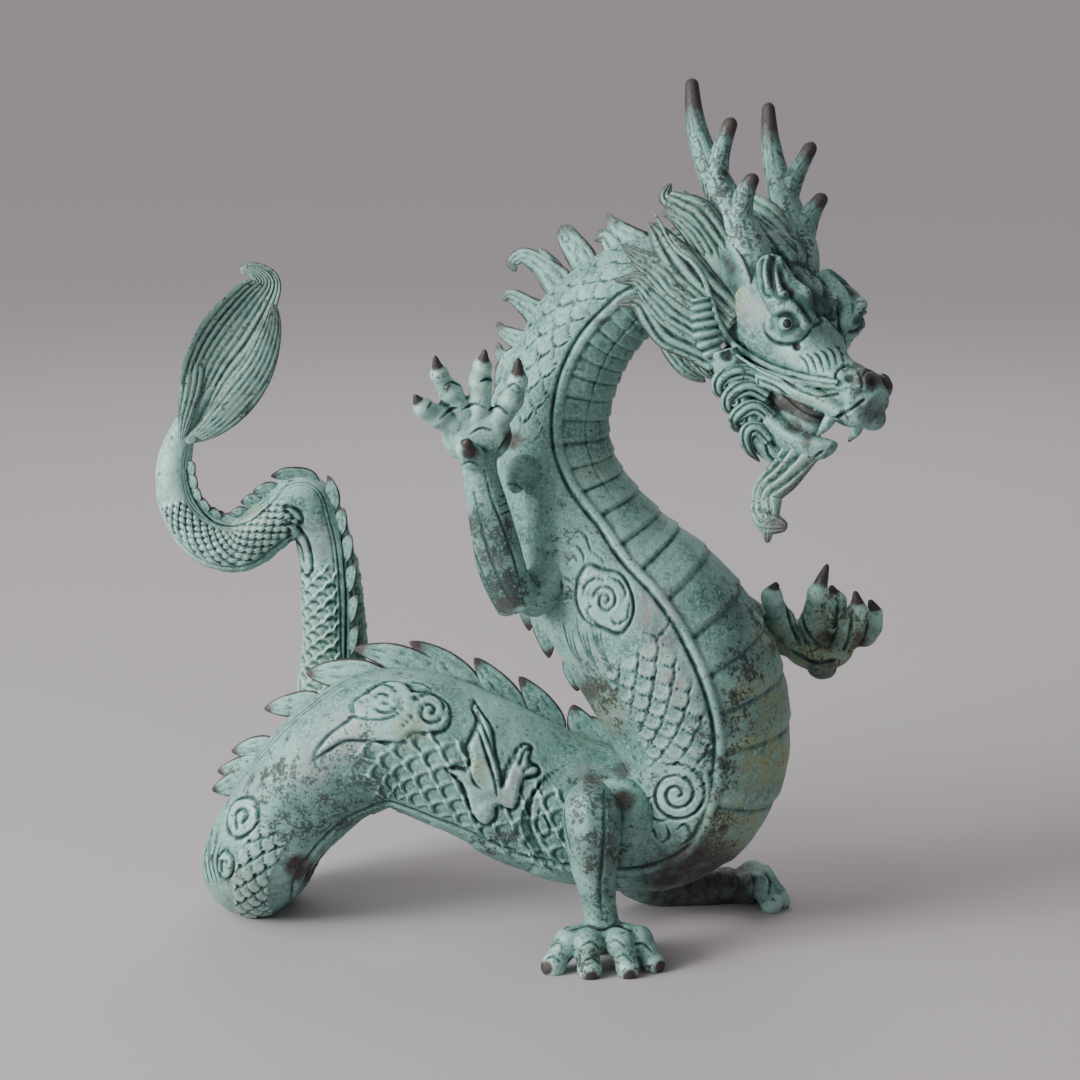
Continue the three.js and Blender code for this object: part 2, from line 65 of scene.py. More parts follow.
# The photograph's camera
FRAME_SIDE = 1080
LENS = 100.0
SENSOR = 36.0
FOCAL = LENS / SENSOR * FRAME_SIDE
PITCH = math.radians(12.0)
DISTANCE = 3446.0
AIM_Z = 473.0
EYE_POINT = np.array([0.0, -DISTANCE * math.cos(PITCH), AIM_Z + DISTANCE * math.sin(PITCH)])
AHEAD = np.array([0.0, math.cos(PITCH), -math.sin(PITCH)])
RIGHTWARD = np.array([1.0, 0.0, 0.0])
UPWARD = np.array([0.0, math.sin(PITCH), math.cos(PITCH)])


def project(points):
    """Pixels of the photograph that show these points."""
    from_eye = points - EYE_POINT
    depth = from_eye @ AHEAD
    across = from_eye @ RIGHTWARD / depth
    up = from_eye @ UPWARD / depth
    middle = FRAME_SIDE / 2
    return np.stack([middle + FOCAL * across, middle - FOCAL * up], -1)


def sight(pixel):
    """The way from the camera through a pixel."""
    middle = FRAME_SIDE / 2
    way = AHEAD * FOCAL + RIGHTWARD * (pixel[0] - middle) - UPWARD * (pixel[1] - middle)
    return way / np.linalg.norm(way)


def shown(pixel, depth):
    """The point at a depth, its y, that a pixel shows."""
    way = sight(pixel)
    return EYE_POINT + way * (depth - EYE_POINT[1]) / way[1]


# Small helpers for numbers and curves
def unit(vectors):
    return vectors / np.maximum(np.linalg.norm(vectors, axis=-1, keepdims=True), 1e-9)


def step(low, high, values):
    share = np.clip((values - low) / (high - low), 0, 1)
    return share * share * (3 - 2 * share)


def spline(rows, places):
    """A smooth curve through rows, at places counted in rows."""
    rows = np.asarray(rows, float)
    last = len(rows) - 1
    places = np.clip(np.asarray(places, float), 0, last)
    index = np.minimum(places.astype(int), last - 1)
    t = (places - index)[..., None]
    wide = np.concatenate([[2 * rows[0] - rows[1]], rows, [2 * rows[-1] - rows[-2]]])
    a, b, c, d = wide[index], wide[index + 1], wide[index + 2], wide[index + 3]
    cubic = 3 * (b - c) + d - a
    square = 2 * a - 5 * b + 4 * c - d
    return b + 0.5 * t * (c - a + t * (square + t * cubic))


def curve(rows, count):
    return spline(rows, np.linspace(0, len(rows) - 1, count))


# Even noise from a fixed table, the same at each run
NOISE_SIDE = 32
NOISE = np.random.default_rng(7).uniform(-1, 1, (NOISE_SIDE,) * 3)


def noise(points, size):
    """Smooth noise from -1 to 1, with bumps of about a size."""
    cell = points / size
    low = np.floor(cell).astype(int)
    t = cell - low
    t = t * t * (3 - 2 * t)
    total = 0
    for corner in range(8):
        way = np.array([corner & 1, corner >> 1 & 1, corner >> 2 & 1])
        weight = np.prod(np.where(way, t, 1 - t), -1)
        i, j, k = np.moveaxis((low + way) % NOISE_SIDE, -1, 0)
        total = total + weight * NOISE[i, j, k]
    return total


# Meshes are held as a shell: its points, its triangles and its values for the finish, whose dark value also
# holds painted shade
FINISHES = ("hollow", "worn", "dark", "warm", "rose", "speck")


def shell(points, faces, **finish):
    made = {"points": np.asarray(points, float), "faces": np.asarray(faces, int)}
    for name in FINISHES:
        value = finish.get(name, 0.0)
        made[name] = np.broadcast_to(np.asarray(value, float), (len(points),)).copy()
    return made


def joined(shells):
    made = {name: np.concatenate([s[name] for s in shells]) for name in FINISHES}
    made["points"] = np.concatenate([s["points"] for s in shells])
    starts = np.cumsum([0] + [len(s["points"]) for s in shells])
    made["faces"] = np.concatenate([s["faces"] + start for s, start in zip(shells, starts)])
    return made


def grid_faces(rings, sides):
    """Triangles of a closed tube of rings, and of the two points that end it."""
    ring = np.arange(rings - 1)[:, None] * sides
    here = np.arange(sides)[None]
    after = (here + 1) % sides
    a, b = (ring + here).ravel(), (ring + after).ravel()
    c, d = b + sides, a + sides
    body = np.concatenate([np.stack([a, b, c], -1), np.stack([a, c, d], -1)])
    start, end = rings * sides, rings * sides + 1
    here, after = np.arange(sides), (np.arange(sides) + 1) % sides
    far = (rings - 1) * sides
    first = np.stack([after, here, np.full(sides, start)], -1)
    last = np.stack([far + here, far + after, np.full(sides, end)], -1)
    return np.concatenate([body, first, last])


def pairs(faces):
    return faces[:, [0, 1, 2]].ravel(), faces[:, [1, 2, 0]].ravel()


def averaged(values, faces):
    """The mean of each point's neighbours."""
    i, j = pairs(faces)
    count = len(values)
    weight = np.bincount(i, minlength=count) + np.bincount(j, minlength=count)
    weight = np.maximum(weight, 1)
    flat = values.reshape(count, -1)
    columns = []
    for column in flat.T:
        total = np.bincount(i, column[j], count) + np.bincount(j, column[i], count)
        columns.append(total / weight)
    return np.stack(columns, -1).reshape(values.shape)


def normals(points, faces):
    a, b, c = points[faces[:, 0]], points[faces[:, 1]], points[faces[:, 2]]
    cross = np.cross(b - a, c - a)
    total = np.zeros_like(points)
    for corner in range(3):
        for axis in range(3):
            total[:, axis] += np.bincount(faces[:, corner], cross[:, axis], len(points))
    return unit(total)


def relaxed(points, faces, rounds):
    """Points moved half the way to the mean of their neighbours, some times over."""
    for _ in range(rounds):
        points = 0.5 * (points + averaged(points, faces))
    return points


def weathered(made):
    """Adds what the form does to the finish: powder is lost on edges, and dirt stays in hollows."""
    points, faces = made["points"], made["faces"]
    way = normals(points, faces)
    i, j = pairs(faces)
    edge = np.linalg.norm(points[i] - points[j], axis=1).mean()
    soft = points
    for rounds, gain in ((2, 0.9), (8, 0.45)):
        soft = relaxed(soft, faces, rounds)
        bend = np.einsum("ij,ij->i", soft - points, way) / edge
        bend = averaged(bend, faces)
        made["hollow"] += np.clip(bend * gain * 2.2, 0, 0.9)
        made["worn"] += np.clip(-bend * gain * 1.6, 0, 0.7)
    made["hollow"] = np.clip(made["hollow"], 0, 1)
    made["worn"] = np.clip(made["worn"], 0, 1)
    return made


# The body: the spine's centre, radius, and the way the back faces
SPINE = np.array([
    [186, -40, 786, 42, 0.1, 0.34, 0.94],
    [119, -18, 772, 50, -0.35, 0.34, 0.87],
    [87, -8, 751, 56, -0.54, 0.34, 0.77],
    [54, 0, 716, 61, -0.72, 0.34, 0.6],
    [30, 4, 667, 63, -0.88, 0.34, 0.32],
    [18, 6, 602, 63, -0.94, 0.34, -0.05],
    [29, 6, 530, 74, -0.85, 0.34, -0.4],
    [70, 0, 447, 95, -0.72, 0.34, -0.6],
    [133, -6, 370, 111, -0.83, 0.34, -0.44],
    [178, -8, 289, 110, -0.93, 0.34, -0.13],
    [186, -6, 210, 101, -0.92, 0.34, 0.2],
    [151, 0, 152, 92, -0.59, 0.31, 0.75],
    [82, 0, 141, 86, -0.03, 0.31, 0.95],
    [4, 0, 162, 87, 0.29, 0.34, 0.89],
    [-82, 0, 207, 86, 0.35, 0.34, 0.87],
    [-165, 0, 236, 84, -0.03, 0.34, 0.94],
    [-231, 0, 214, 77, -0.54, 0.34, 0.77],
    [-283, 4, 164, 69, -0.75, 0.36, 0.55],
    [-323, 18, 108, 64, -0.88, 0.3, 0.3],
    [-344, 64, 61, 61, -0.97, 0.1, 0.1],
    [-326, 118, 62, 56, -0.5, 0.75, -0.4],
    [-294, 146, 115, 50, 0.1, 1, -0.1],
    [-265, 152, 199, 44, 0.85, 0.3, -0.1],
    [-250, 146, 300, 38, 0.67, -0.74, -0.02],
    [-251, 138, 383, 35, 0.67, -0.74, 0.02],
    [-260, 132, 455, 32, 0.74, -0.64, 0.2],
    [-282, 127, 496, 32, 0.16, -0.34, 0.93],
    [-316, 124, 469, 32, -0.61, -0.14, 0.78],
    [-357, 124, 439, 31, -0.17, -0.1, 0.98],
    [-399, 126, 449, 30, 0.5, -0.14, 0.86],
    [-427, 128, 487, 25, 0.82, -0.42, 0.38],
    [-434, 128, 531, 21, 0.88, -0.47, 0],
    [-425, 126, 571, 17, 0.82, -0.42, -0.38],
    [-405, 124, 605, 12, 0.81, -0.17, -0.56],
    [-384, 122, 635, 6, 0.79, 0, -0.62],
])
SPINE_END = len(SPINE) - 1
BACKS = unit(SPINE[:, 4:])
BEND_LIMIT = 0.86


def body_frame(stations):
    centre = spline(SPINE[:, :3], stations)
    reach = 1e-3
    along = unit(spline(SPINE[:, :3], stations + reach) - spline(SPINE[:, :3], stations - reach))
    back = spline(BACKS, stations)
    back = unit(back - along * np.sum(along * back, -1, keepdims=True))
    side = np.cross(along, back)
    return centre, along, back, side, spline(SPINE[:, 3:4], stations)[..., 0]


def body_bend(stations):
    reach = 0.35
    before = np.clip(stations - reach, 0, SPINE_END)
    after = np.clip(stations + reach, 0, SPINE_END)
    first, second = body_frame(before), body_frame(after)
    length = np.maximum(np.linalg.norm(second[0] - first[0], axis=-1, keepdims=True), 1)
    return (second[1] - first[1]) / length


def body_skin(stations, angles, height=0.0):
    """Points on the body at stations and angles from the back, and the ways they face."""
    centre, _, back, side, radius = body_frame(stations)
    way = back * np.cos(angles)[..., None] + side * np.sin(angles)[..., None]
    bend = np.sum(body_bend(stations) * way, -1)
    most = np.where(bend > 1e-9, BEND_LIMIT / np.maximum(bend, 1e-9), np.inf)
    return centre + way * np.minimum(radius + height, most)[..., None], way


def travelled(stations):
    """How far along the body a station lies."""
    fine = np.linspace(0, SPINE_END, 1500)
    centre = body_frame(fine)[0]
    lengths = np.linalg.norm(np.diff(centre, axis=0), axis=1)
    return np.interp(stations, fine, np.concatenate([[0], np.cumsum(lengths)]))


# Strokes on the shown side: the distance of each seen point from a line of pixels
def near_line(seen, line, reach):
    """Distances in pixels from a line, its share along, and which points are within reach."""
    line = np.asarray(line, float)
    low, high = line.min(0) - reach, line.max(0) + reach
    inside = np.flatnonzero(np.all((seen > low) & (seen < high), axis=1))
    points = seen[inside]
    best = np.full(len(inside), 1e9)
    share = np.zeros(len(inside))
    count = len(line) - 1
    for k in range(count):
        start, way = line[k], line[k + 1] - line[k]
        length = max(way @ way, 1e-9)
        t = np.clip((points - start) @ way / length, 0, 1)
        gap = np.linalg.norm(points - start - t[:, None] * way, axis=1)
        closer = gap < best
        best = np.where(closer, gap, best)
        share = np.where(closer, (k + t) / count, share)
    return inside, best, share


def inside_line(points, line):
    """Which points lie inside a closed line of pixels."""
    odd = np.zeros(len(points), bool)
    for (x0, y0), (x1, y1) in zip(line, np.roll(line, -1, axis=0)):
        crossing = (y0 > points[:, 1]) != (y1 > points[:, 1])
        rise = np.where(y1 == y0, 1e-9, y1 - y0)
        odd ^= crossing & (points[:, 0] < (x1 - x0) * (points[:, 1] - y0) / rise + x0)
    return odd


TURN_POINTS = 16
SPIRAL_EYE = 0.12  # a spiral's inner radius, as a share of its outer one


def spiral_line(centre, radius, turns, first, wide):
    """A spiral from its outer end in. The first angle is in degrees."""
    share = np.linspace(0, 1, int(TURN_POINTS * turns) + TURN_POINTS // 2)
    angle = math.radians(first) + share * turns * 2 * math.pi
    reach = radius * (1 + (SPIRAL_EYE - 1) * share)
    return np.stack([centre[0] + np.cos(angle) * reach * wide, centre[1] + np.sin(angle) * reach], -1)


def oval(centre, width, height):
    angle = np.linspace(0, 2 * np.pi, 29)
    return np.stack([centre[0] + width * np.cos(angle), centre[1] + height * np.sin(angle)], -1)


# How strokes are formed, as shares of their widths and depths
SEEN_FADE = (0.02, 0.2)  # how far the skin faces the camera where strokes begin, and where they are full
FEW_POINTS = 24  # lines with fewer points are smoothed
GROOVE_DIRT = 0.72
LIP_WIDTH = 2.6
LIP_HEIGHT = 0.45
CUT_DEPTH = 1.45
DITCH_AT = 2.1
DITCH_DEPTH = 0.35
DITCH_DIRT = 0.7
PAD_LINE = 1.2  # width of the cut round a raised field, in pixels
PAD_REACH = 60


class Carving:
    """Heights and dirt that ornaments add to the points that the photograph sees.

    Lines and widths are in pixels of the photograph, and heights and depths are in millimetres.
    The ornaments are a table: each kind, by the name of its method, with rows of its values.
    """

    def __init__(self, seen, facing, ornaments):
        self.seen = seen
        self.fade = step(*SEEN_FADE, facing)
        self.height = np.zeros(len(seen))
        self.hollow = np.zeros(len(seen))
        for kind, rows in ornaments.items():
            for row in rows:
                getattr(self, kind)(*row)

    def add(self, where, height, dirt):
        self.height[where] += height * MILLIMETRE
        self.hollow[where] = np.maximum(self.hollow[where], dirt)

    def stroke(self, points, width, height, taper=0.0, smooth=True):
        """A soft ridge along a line, or a groove where its height is below 0."""
        line = np.asarray(points, float)
        if smooth and len(line) < FEW_POINTS:
            line = curve(line, 6 * len(line))
        where, gap, share = near_line(self.seen, line, 3 * width)
        thin = 1 - taper * (2 * share - 1) ** 2
        form = np.exp(-((gap / (width * thin)) ** 2)) * self.fade[where]
        self.add(where, height * thin * form, GROOVE_DIRT * form * (height < 0))

    def cut(self, points, width, depth, taper=0.0, smooth=True):
        """A cut line with a soft rise on both sides."""
        self.stroke(points, LIP_WIDTH * width, LIP_HEIGHT * depth, taper, smooth)
        self.stroke(points, width, -CUT_DEPTH * depth, taper, smooth)

    def fan(self, first, last, count, width, depth, taper):
        """Cut lines spread evenly from a first line to a last one."""
        for share in np.linspace(0, 1, count):
            line = (1 - share) * np.array(first) + share * np.array(last)
            self.cut(line, width, depth, taper)

    def spiral(self, centre, radius, turns, first, wide, width, depth):
        self.cut(spiral_line(centre, radius, turns, first, wide), width, depth, smooth=False)

    def rib(self, points, width, height, taper):
        """A raised line with a hollow on both sides."""
        where, gap, _ = near_line(self.seen, curve(points, 6 * len(points)), 4 * width)
        ditch = np.exp(-(((gap - DITCH_AT * width) / width) ** 2)) * self.fade[where]
        self.add(where, -DITCH_DEPTH * height * ditch, DITCH_DIRT * ditch)
        self.stroke(points, width, height, taper)

    def pad(self, points, height, edge, cut):
        """A raised field with round edges and a cut line around it."""
        line = curve(np.concatenate([points, points[:1]]), 8 * len(points))
        where, gap, _ = near_line(self.seen, line, PAD_REACH)
        within = inside_line(self.seen[where], line[:-1])
        self.add(where, height * np.where(within, step(0, edge, gap), 0) * self.fade[where], 0)
        self.stroke(line, PAD_LINE, -cut, smooth=False)

    def pit(self, centre, radius, depth):
        where, gap, _ = near_line(self.seen, [centre, centre], 2 * radius)
        form = np.exp(-((gap / radius) ** 4)) * self.fade[where]
        self.add(where, -depth * form, form)

    def bump(self, centre, radius, height):
        where, gap, _ = near_line(self.seen, [centre, centre], 2.5 * radius)
        self.add(where, height * np.exp(-((gap / radius) ** 2)) * self.fade[where], 0)


def patch(seen, facing, spots):
    """How much of a tint shows: soft round spots of pixels, each with a radius and a strength."""
    total = np.zeros(len(seen))
    for x, y, radius, strength in spots:
        gap = np.hypot(seen[:, 0] - x, seen[:, 1] - y) / radius
        total = np.maximum(total, strength * (1 - step(0.35, 1.1, gap)))
    return total * step(-0.1, 0.15, facing)


# Lapped scales on a strip of skin: along and across are lengths on it
def scales(along, across, length, width):
    """For each point, how far inside its scale's free edge it lies, and how far beyond the next."""
    row = np.floor(along / length).astype(int)
    inner = np.full(along.shape, -1.0)
    beyond = np.full(along.shape, 9.0)
    reach = 1.75 * length
    for back in (2, 1, 0):
        i = row - back
        shift = (i % 2) * 0.5 * width
        column = np.round((across - shift) / width)
        dx = along - i * length
        dy = (across - shift - column * width) / (0.5 * width)
        tip = reach * np.sqrt(np.maximum(1 - 0.92 * dy * dy, 0))
        gap = tip - dx
        open_yet = inner < 0
        inner = np.where(open_yet & (gap >= 0), gap, inner)
        beyond = np.where(open_yet & (gap < 0), np.minimum(beyond, -gap), beyond)
    return np.maximum(inner, 0), beyond


# Lines along the body: stations, and degrees from the back
MEAN_PACE = 72  # units from one station to the next
BORDER = [(4, 103), (4.6, 105), (5.2, 109), (5.9, 119), (6.5, 129), (7.5, 130), (8.2, 125),
          (8.9, 120), (9.7, 115), (10.2, 116), (10.8, 124), (11.6, 134), (12.6, 141), (13.4, 150),
          (14.2, 156), (18.4, 156), (19.6, 140), (23, 128), (34, 128)]
CREST_LINE = [(0, 22), (2, 20), (4, 17), (8, 12), (12.5, 14), (13.25, 17), (13.8, 10), (15.0, 12),
              (15.55, 26), (16.1, 32), (16.7, 33), (17.6, 16), (19, 15), (22, 20), (34, 20)]
CREST_CUTS = [(0.0, 0.6), (9.0, 0.4)]  # distance from that line, and depth
RIM_WIDTH = 11.0
PLATE_PACES = [(0, 0.42), (9, 0.44), (9.2, 0.7), (18, 0.6), (22, 0.42), (34, 0.34)]


def plate_starts():
    starts = [0.0]
    while starts[-1] < SPINE_END:
        pace = np.interp(starts[-1], *zip(*PLATE_PACES))
        starts.append(starts[-1] + pace)
    return np.array(starts)


PLATES = plate_starts()


# Fields of scales: how they are cut, stations, girths in degrees, a scale's length and width,
# and the body's radius there
SCALE_FIELDS = [
    ("incised", (0.6, 5.0), (26, 97), 17, 26, 62),
    ("lapped", (7.9, 10.1), (72, 116), 16, 27, 110),
    ("net", (12.5, 15.6), (82, 148), 16, 28, 86),
    ("lapped", (17.3, 20.5), (84, 124), 11, 20, 64),
    ("net", (21.2, 24.5), (24, 118), 10, 26, 42),
    ("lapped", (26.4, 30.2), (38, 118), 6.6, 11, 31),
]


def between(limits, soft, values):
    """How far values lie between two limits, with soft ends."""
    low, high = limits
    return step(low - soft, low + soft, values) * (1 - step(high - soft, high + soft, values))


def scale_relief(cut, inner, beyond, length):
    """Height in millimetres, hollow and wear of one kind of scales."""
    edge = np.exp(-((beyond / 2.0) ** 2))
    if cut == "incised":
        lip = np.exp(-((inner / 2.6) ** 2))
        return 0.3 * lip - 0.6 * edge, 0.95 * edge, 0.2 * np.exp(-(((inner - 5) / 4) ** 2))
    if cut == "lapped":
        lift = 1 - 0.75 * np.clip(inner / (1.75 * length), 0, 1)
        round_edge = step(0, 2.4, inner)
        return 0.75 * lift * round_edge - 0.55 * edge, edge, 0.9 * np.exp(-(((inner - 6) / 4) ** 2))
    ridge = np.clip(np.exp(-((beyond / 1.9) ** 2)) + np.exp(-((inner / 1.6) ** 2)), 0, 1)
    ditch = np.exp(-(((inner - 5.0) / 2.4) ** 2))
    return 0.95 * ridge - 0.2 * ditch, 0.4 * ditch, 0.8 * ridge


# The flank's ornaments, in pixels of the photograph
ROSETTE = [(578, 578), (588, 565), (604, 570), (622, 575), (633, 598), (632, 618), (621, 633),
           (603, 629), (585, 620), (576, 600)]
CLOUD = [(313, 761), (318, 748), (331, 733), (352, 717), (353, 703), (369, 691), (386, 682),
         (404, 683), (414, 692), (431, 693), (447, 703), (450, 719), (443, 731), (427, 733),
         (414, 733), (401, 742), (377, 742), (347, 741), (328, 751)]
FLAME = [(474, 699), (482, 713), (492, 729), (495, 749), (500, 768), (502, 786), (507, 768),
         (517, 751), (525, 744), (533, 747), (529, 760), (539, 766), (538, 775), (525, 779),
         (521, 790), (519, 801), (513, 811), (498, 806), (496, 818), (487, 825), (477, 821),
         (469, 807), (464, 789), (457, 779), (446, 769), (459, 768), (467, 769), (469, 757),
         (467, 746), (477, 723), (473, 710)]
LARGE_SQUARE = [(229, 807), (238, 799), (252, 798), (258, 808), (258, 822), (249, 833), (236, 838),
                (226, 824)]
SMALL_SQUARE = [(217, 858), (225, 850), (233, 859), (233, 872), (226, 880), (218, 872)]
CHEST_HAIR = [(563, 618), (565, 632), (570, 648), (576, 662)]
CHEST_HAIRS = [[(x + 4.6 * k, y + 5.5 * (k % 3)) for x, y in CHEST_HAIR] for k in range(9)]
ROSETTE_PETALS = [
    [(583, 594), (588, 582), (598, 578), (606, 582)],
    [(608, 576), (620, 582), (626, 594), (620, 602)],
    [(629, 604), (627, 618), (616, 624), (612, 618)],
    [(612, 630), (598, 624), (588, 612), (592, 604)],
]
CHEST_CURLS = [
    [(571, 540), (578, 531), (586, 537), (591, 550), (601, 559), (606, 569)],
    [(569, 549), (576, 546), (583, 554), (584, 563)],
    [(566, 565), (573, 557), (578, 562)],
    [(560, 577), (567, 579), (574, 585)],
    [(560, 592), (567, 596), (574, 598)],
]
BELLY_CURLS = [
    [(636, 824), (641, 804), (654, 796)],
    [(652, 803), (652, 816), (662, 821), (671, 815)],
    [(643, 826), (653, 830), (656, 839)],
    [(666, 824), (669, 837), (661, 844)],
    [(677, 830), (684, 824), (690, 832), (686, 842)],
    [(699, 820), (692, 837), (681, 846)],
]
HIP_HAIR = ([(566, 764), (544, 778), (532, 804), (532, 830), (544, 854)],
            [(542.2, 786.4), (527.2, 800.4), (522.2, 826.4), (536.2, 852.4), (555.2, 876.4)])
BEND_HAIR = ([(206, 842), (204, 862), (209, 884)], [(221, 842), (216, 862), (221, 884)])
FLANK = {
    "pad": [
        (ROSETTE, 0.55, 4, 0.75),
        (CLOUD, 0.85, 4, 0.75),
        (FLAME, 1.15, 6, 0.8),
        (LARGE_SQUARE, 0.4, 3, 1.0),
        (SMALL_SQUARE, 0.35, 3, 0.9),
    ],
    "spiral": [
        # In the rosette, low on the belly's side, and two in the cloud
        ((606, 600), 15, 1.7, 195, 0.85, 1.3, 0.7),
        ((677, 794), 31, 2.4, -110, 1.0, 1.7, 0.85),
        ((384, 702), 18, 1.75, 200, 1.0, 1.4, 0.7),
        ((430, 712), 18, 1.6, 215, 1.0, 1.5, 0.8),
    ],
    "bump": [((677, 794), 26, 0.5), ((484, 809), 9, 0.7)],
    "fan": [(*HIP_HAIR, 8, 1.0, 0.5, 0.7), (*BEND_HAIR, 4, 1.0, 0.5, 0.6)],
    "cut": [
        *[(petal, 1.3, 0.65, 0.4) for petal in ROSETTE_PETALS],
        *[(curl, 1.1, 0.55, 0.5) for curl in CHEST_CURLS],
        *[(hair, 0.9, 0.4, 0.8) for hair in CHEST_HAIRS],
        *[(curl, 1.3, 0.7, 0.5) for curl in BELLY_CURLS],
        # The leaf beside the rosette
        ([(643, 632), (656, 636), (666, 629), (671, 618)], 1.2, 0.65, 0.4),
        # The folds of the cloud
        ([(352, 717), (372, 720), (388, 719), (401, 711), (405, 695)], 1.2, 0.6),
        ([(408, 684), (414, 700), (412, 716), (401, 728)], 1.2, 0.6),
        ([(413, 683), (422, 684), (431, 690)], 1.0, 0.5),
        # The tongues of the flame
        ([(477, 730), (485, 752), (494, 778), (497, 796)], 1.6, 0.8, 0.5),
        ([(476, 706), (480, 722), (489, 744), (498, 770)], 1.3, 0.6, 0.5),
        ([(502, 787), (506, 776), (512, 764), (517, 757)], 1.2, 0.6),
        ([(519, 764), (524, 752), (530, 748)], 2.2, 0.9),
        ([(523, 772), (531, 766), (539, 768), (537, 775), (527, 778)], 1.4, 0.8),
        ([(470, 770), (474, 782), (483, 790)], 1.3, 0.6, 0.5),
        # The curl under the hip's hair, and the square spirals on the left bend
        ([(540, 808), (537, 826), (546, 838), (550, 829), (544, 815)], 1.1, 0.6),
        ([(237, 829), (236, 815), (243, 809), (248, 816), (243, 823)], 1.8, 0.9),
        ([(222, 872), (222, 862), (228, 862)], 1.6, 0.8),
    ],
}
TAIL_LEAF = [(286, 521), (297, 526), (307, 539), (311, 553), (312, 569), (307, 576), (301, 569),
             (294, 556), (292, 542)]
TAIL_CURL = [(284, 506), (294, 508), (301, 514), (302, 522), (293, 517)]
TAIL_LONG_LINE = [(346, 664), (346, 620), (346, 586), (342, 536), (335, 505), (327, 484), (313, 470),
                  (298, 470)]
TAIL_CURL_LINE = [(298, 470), (288, 482), (278, 496), (264, 511), (250, 521), (232, 526), (214, 522),
                  (200, 508), (191, 490), (187, 470)]
TAIL = {
    "pad": [(TAIL_LEAF, 0.6, 3, 0.8), (TAIL_CURL, 0.5, 2, 0.8)],
    "cut": [
        (TAIL_LONG_LINE, 1.3, 0.65),
        (TAIL_CURL_LINE, 1.2, 0.55),
        ([(296, 536), (302, 547), (304, 561)], 1.3, 0.7),
    ],
}


# The belly's edge and plates, with heights and depths in millimetres
GROOVE_SHIFT = 2.0
GROOVE_WIDTH = 2.1
GROOVE_DEPTH = 0.95
RIM_HEIGHT = 0.5
BELLY_DEPTH = 0.9
PLATE_RISE = 0.8
PLATE_HIGHEST = 0.86  # where along a plate it is highest
SEAM_WIDTH = 1.8
KEEL_WIDTH = 1.6
KEEL_DEPTH = 0.3
KEEL_END = (5.6, 7.0)
SMALL_RADIUS = 60  # where the body is thinner, its carving is finer


def plate_relief(stations, girths, radius, fade):
    """Height in millimetres and hollow of the belly's rim, its plates and their middle line."""
    border = np.interp(stations, *zip(*BORDER))
    past = np.radians(girths - border) * radius
    rim_width = RIM_WIDTH * fade
    groove = np.exp(-(((past + GROOVE_SHIFT) / (GROOVE_WIDTH * fade)) ** 2))
    rim = np.clip(1 - ((past - 0.45 * rim_width) / (0.6 * rim_width)) ** 2, 0, 1)
    inside = step(0.7 * rim_width, 1.1 * rim_width, past)
    plate = np.clip(np.searchsorted(PLATES, stations, side="right") - 1, 0, len(PLATES) - 2)
    length = PLATES[plate + 1] - PLATES[plate]
    share = (stations - PLATES[plate]) / length
    rising = 0.1 + 0.9 * (share / PLATE_HIGHEST) ** 0.8
    lap = np.where(share < PLATE_HIGHEST, rising, 1 - step(PLATE_HIGHEST, 1.0, share))
    gap = np.minimum(share, 1 - share) * length * MEAN_PACE
    seam = np.exp(-((gap / SEAM_WIDTH) ** 2)) * inside
    keel = np.radians(girths - 0.5 * (border + 180)) * radius
    keel_line = np.exp(-((keel / KEEL_WIDTH) ** 2)) * (1 - step(*KEEL_END, stations)) * inside
    height = fade * (RIM_HEIGHT * rim - GROOVE_DEPTH * groove + inside * (PLATE_RISE * lap - BELLY_DEPTH))
    hollow = np.max([0.45 * groove, 0.38 * seam, 0.35 * keel_line], axis=0)
    return height - KEEL_DEPTH * keel_line, hollow


def body_relief(stations, angles, ornaments):
    """Height and finish of the body's carving at stations and angles from the back."""
    girths = np.degrees(np.abs(angles))
    near_skin, near_way = body_skin(stations, -np.abs(angles))
    seen = project(near_skin)
    facing = np.sum(near_way * unit(EYE_POINT - near_skin), -1)
    radius = body_frame(stations)[4]
    along = travelled(stations)
    fade = np.clip(radius / SMALL_RADIUS, 0.25, 1)
    height, hollow = plate_relief(stations, girths, radius, fade)

    # The two lines that run beside the crest
    crest_line = np.interp(stations, *zip(*CREST_LINE))
    for shift, depth in CREST_CUTS:
        beside = np.radians(girths - crest_line) * radius - shift * fade
        cut = np.exp(-((beside / (1.7 * fade)) ** 2))
        height -= depth * fade * cut
        hollow = np.maximum(hollow, depth * 1.3 * cut)

    # Scales
    worn = np.zeros(len(stations))
    domes = np.zeros(len(stations))
    for kind, where_along, where_round, length, width, field_radius in SCALE_FIELDS:
        amount = between(where_along, 0.12, stations) * between(where_round, 3, girths)
        where = np.flatnonzero(amount > 0.01)
        if len(where) == 0:
            continue
        across = np.radians(girths[where]) * field_radius
        inner, beyond = scales(along[where], across, length, width)
        rise, dirt, wear = scale_relief(kind, inner, beyond, length)
        height[where] += rise * amount[where]
        hollow[where] = np.maximum(hollow[where], dirt * amount[where])
        worn[where] = np.maximum(worn[where], wear * amount[where])
        if kind == "lapped":
            domes[where] = amount[where] * np.exp(-(((inner - 7) / 5) ** 2))

    carving = Carving(seen, facing, ornaments)
    # Where an ornament is raised, it hides the scales below it
    covered = np.clip(carving.height / (0.3 * MILLIMETRE), 0, 1)
    height = height * MILLIMETRE * (1 - covered) + carving.height
    hollow = np.maximum(hollow * (1 - covered), carving.hollow)
    worn = np.maximum(worn * (1 - covered), 0.55 * covered)
    return height, hollow, worn, seen, facing, domes
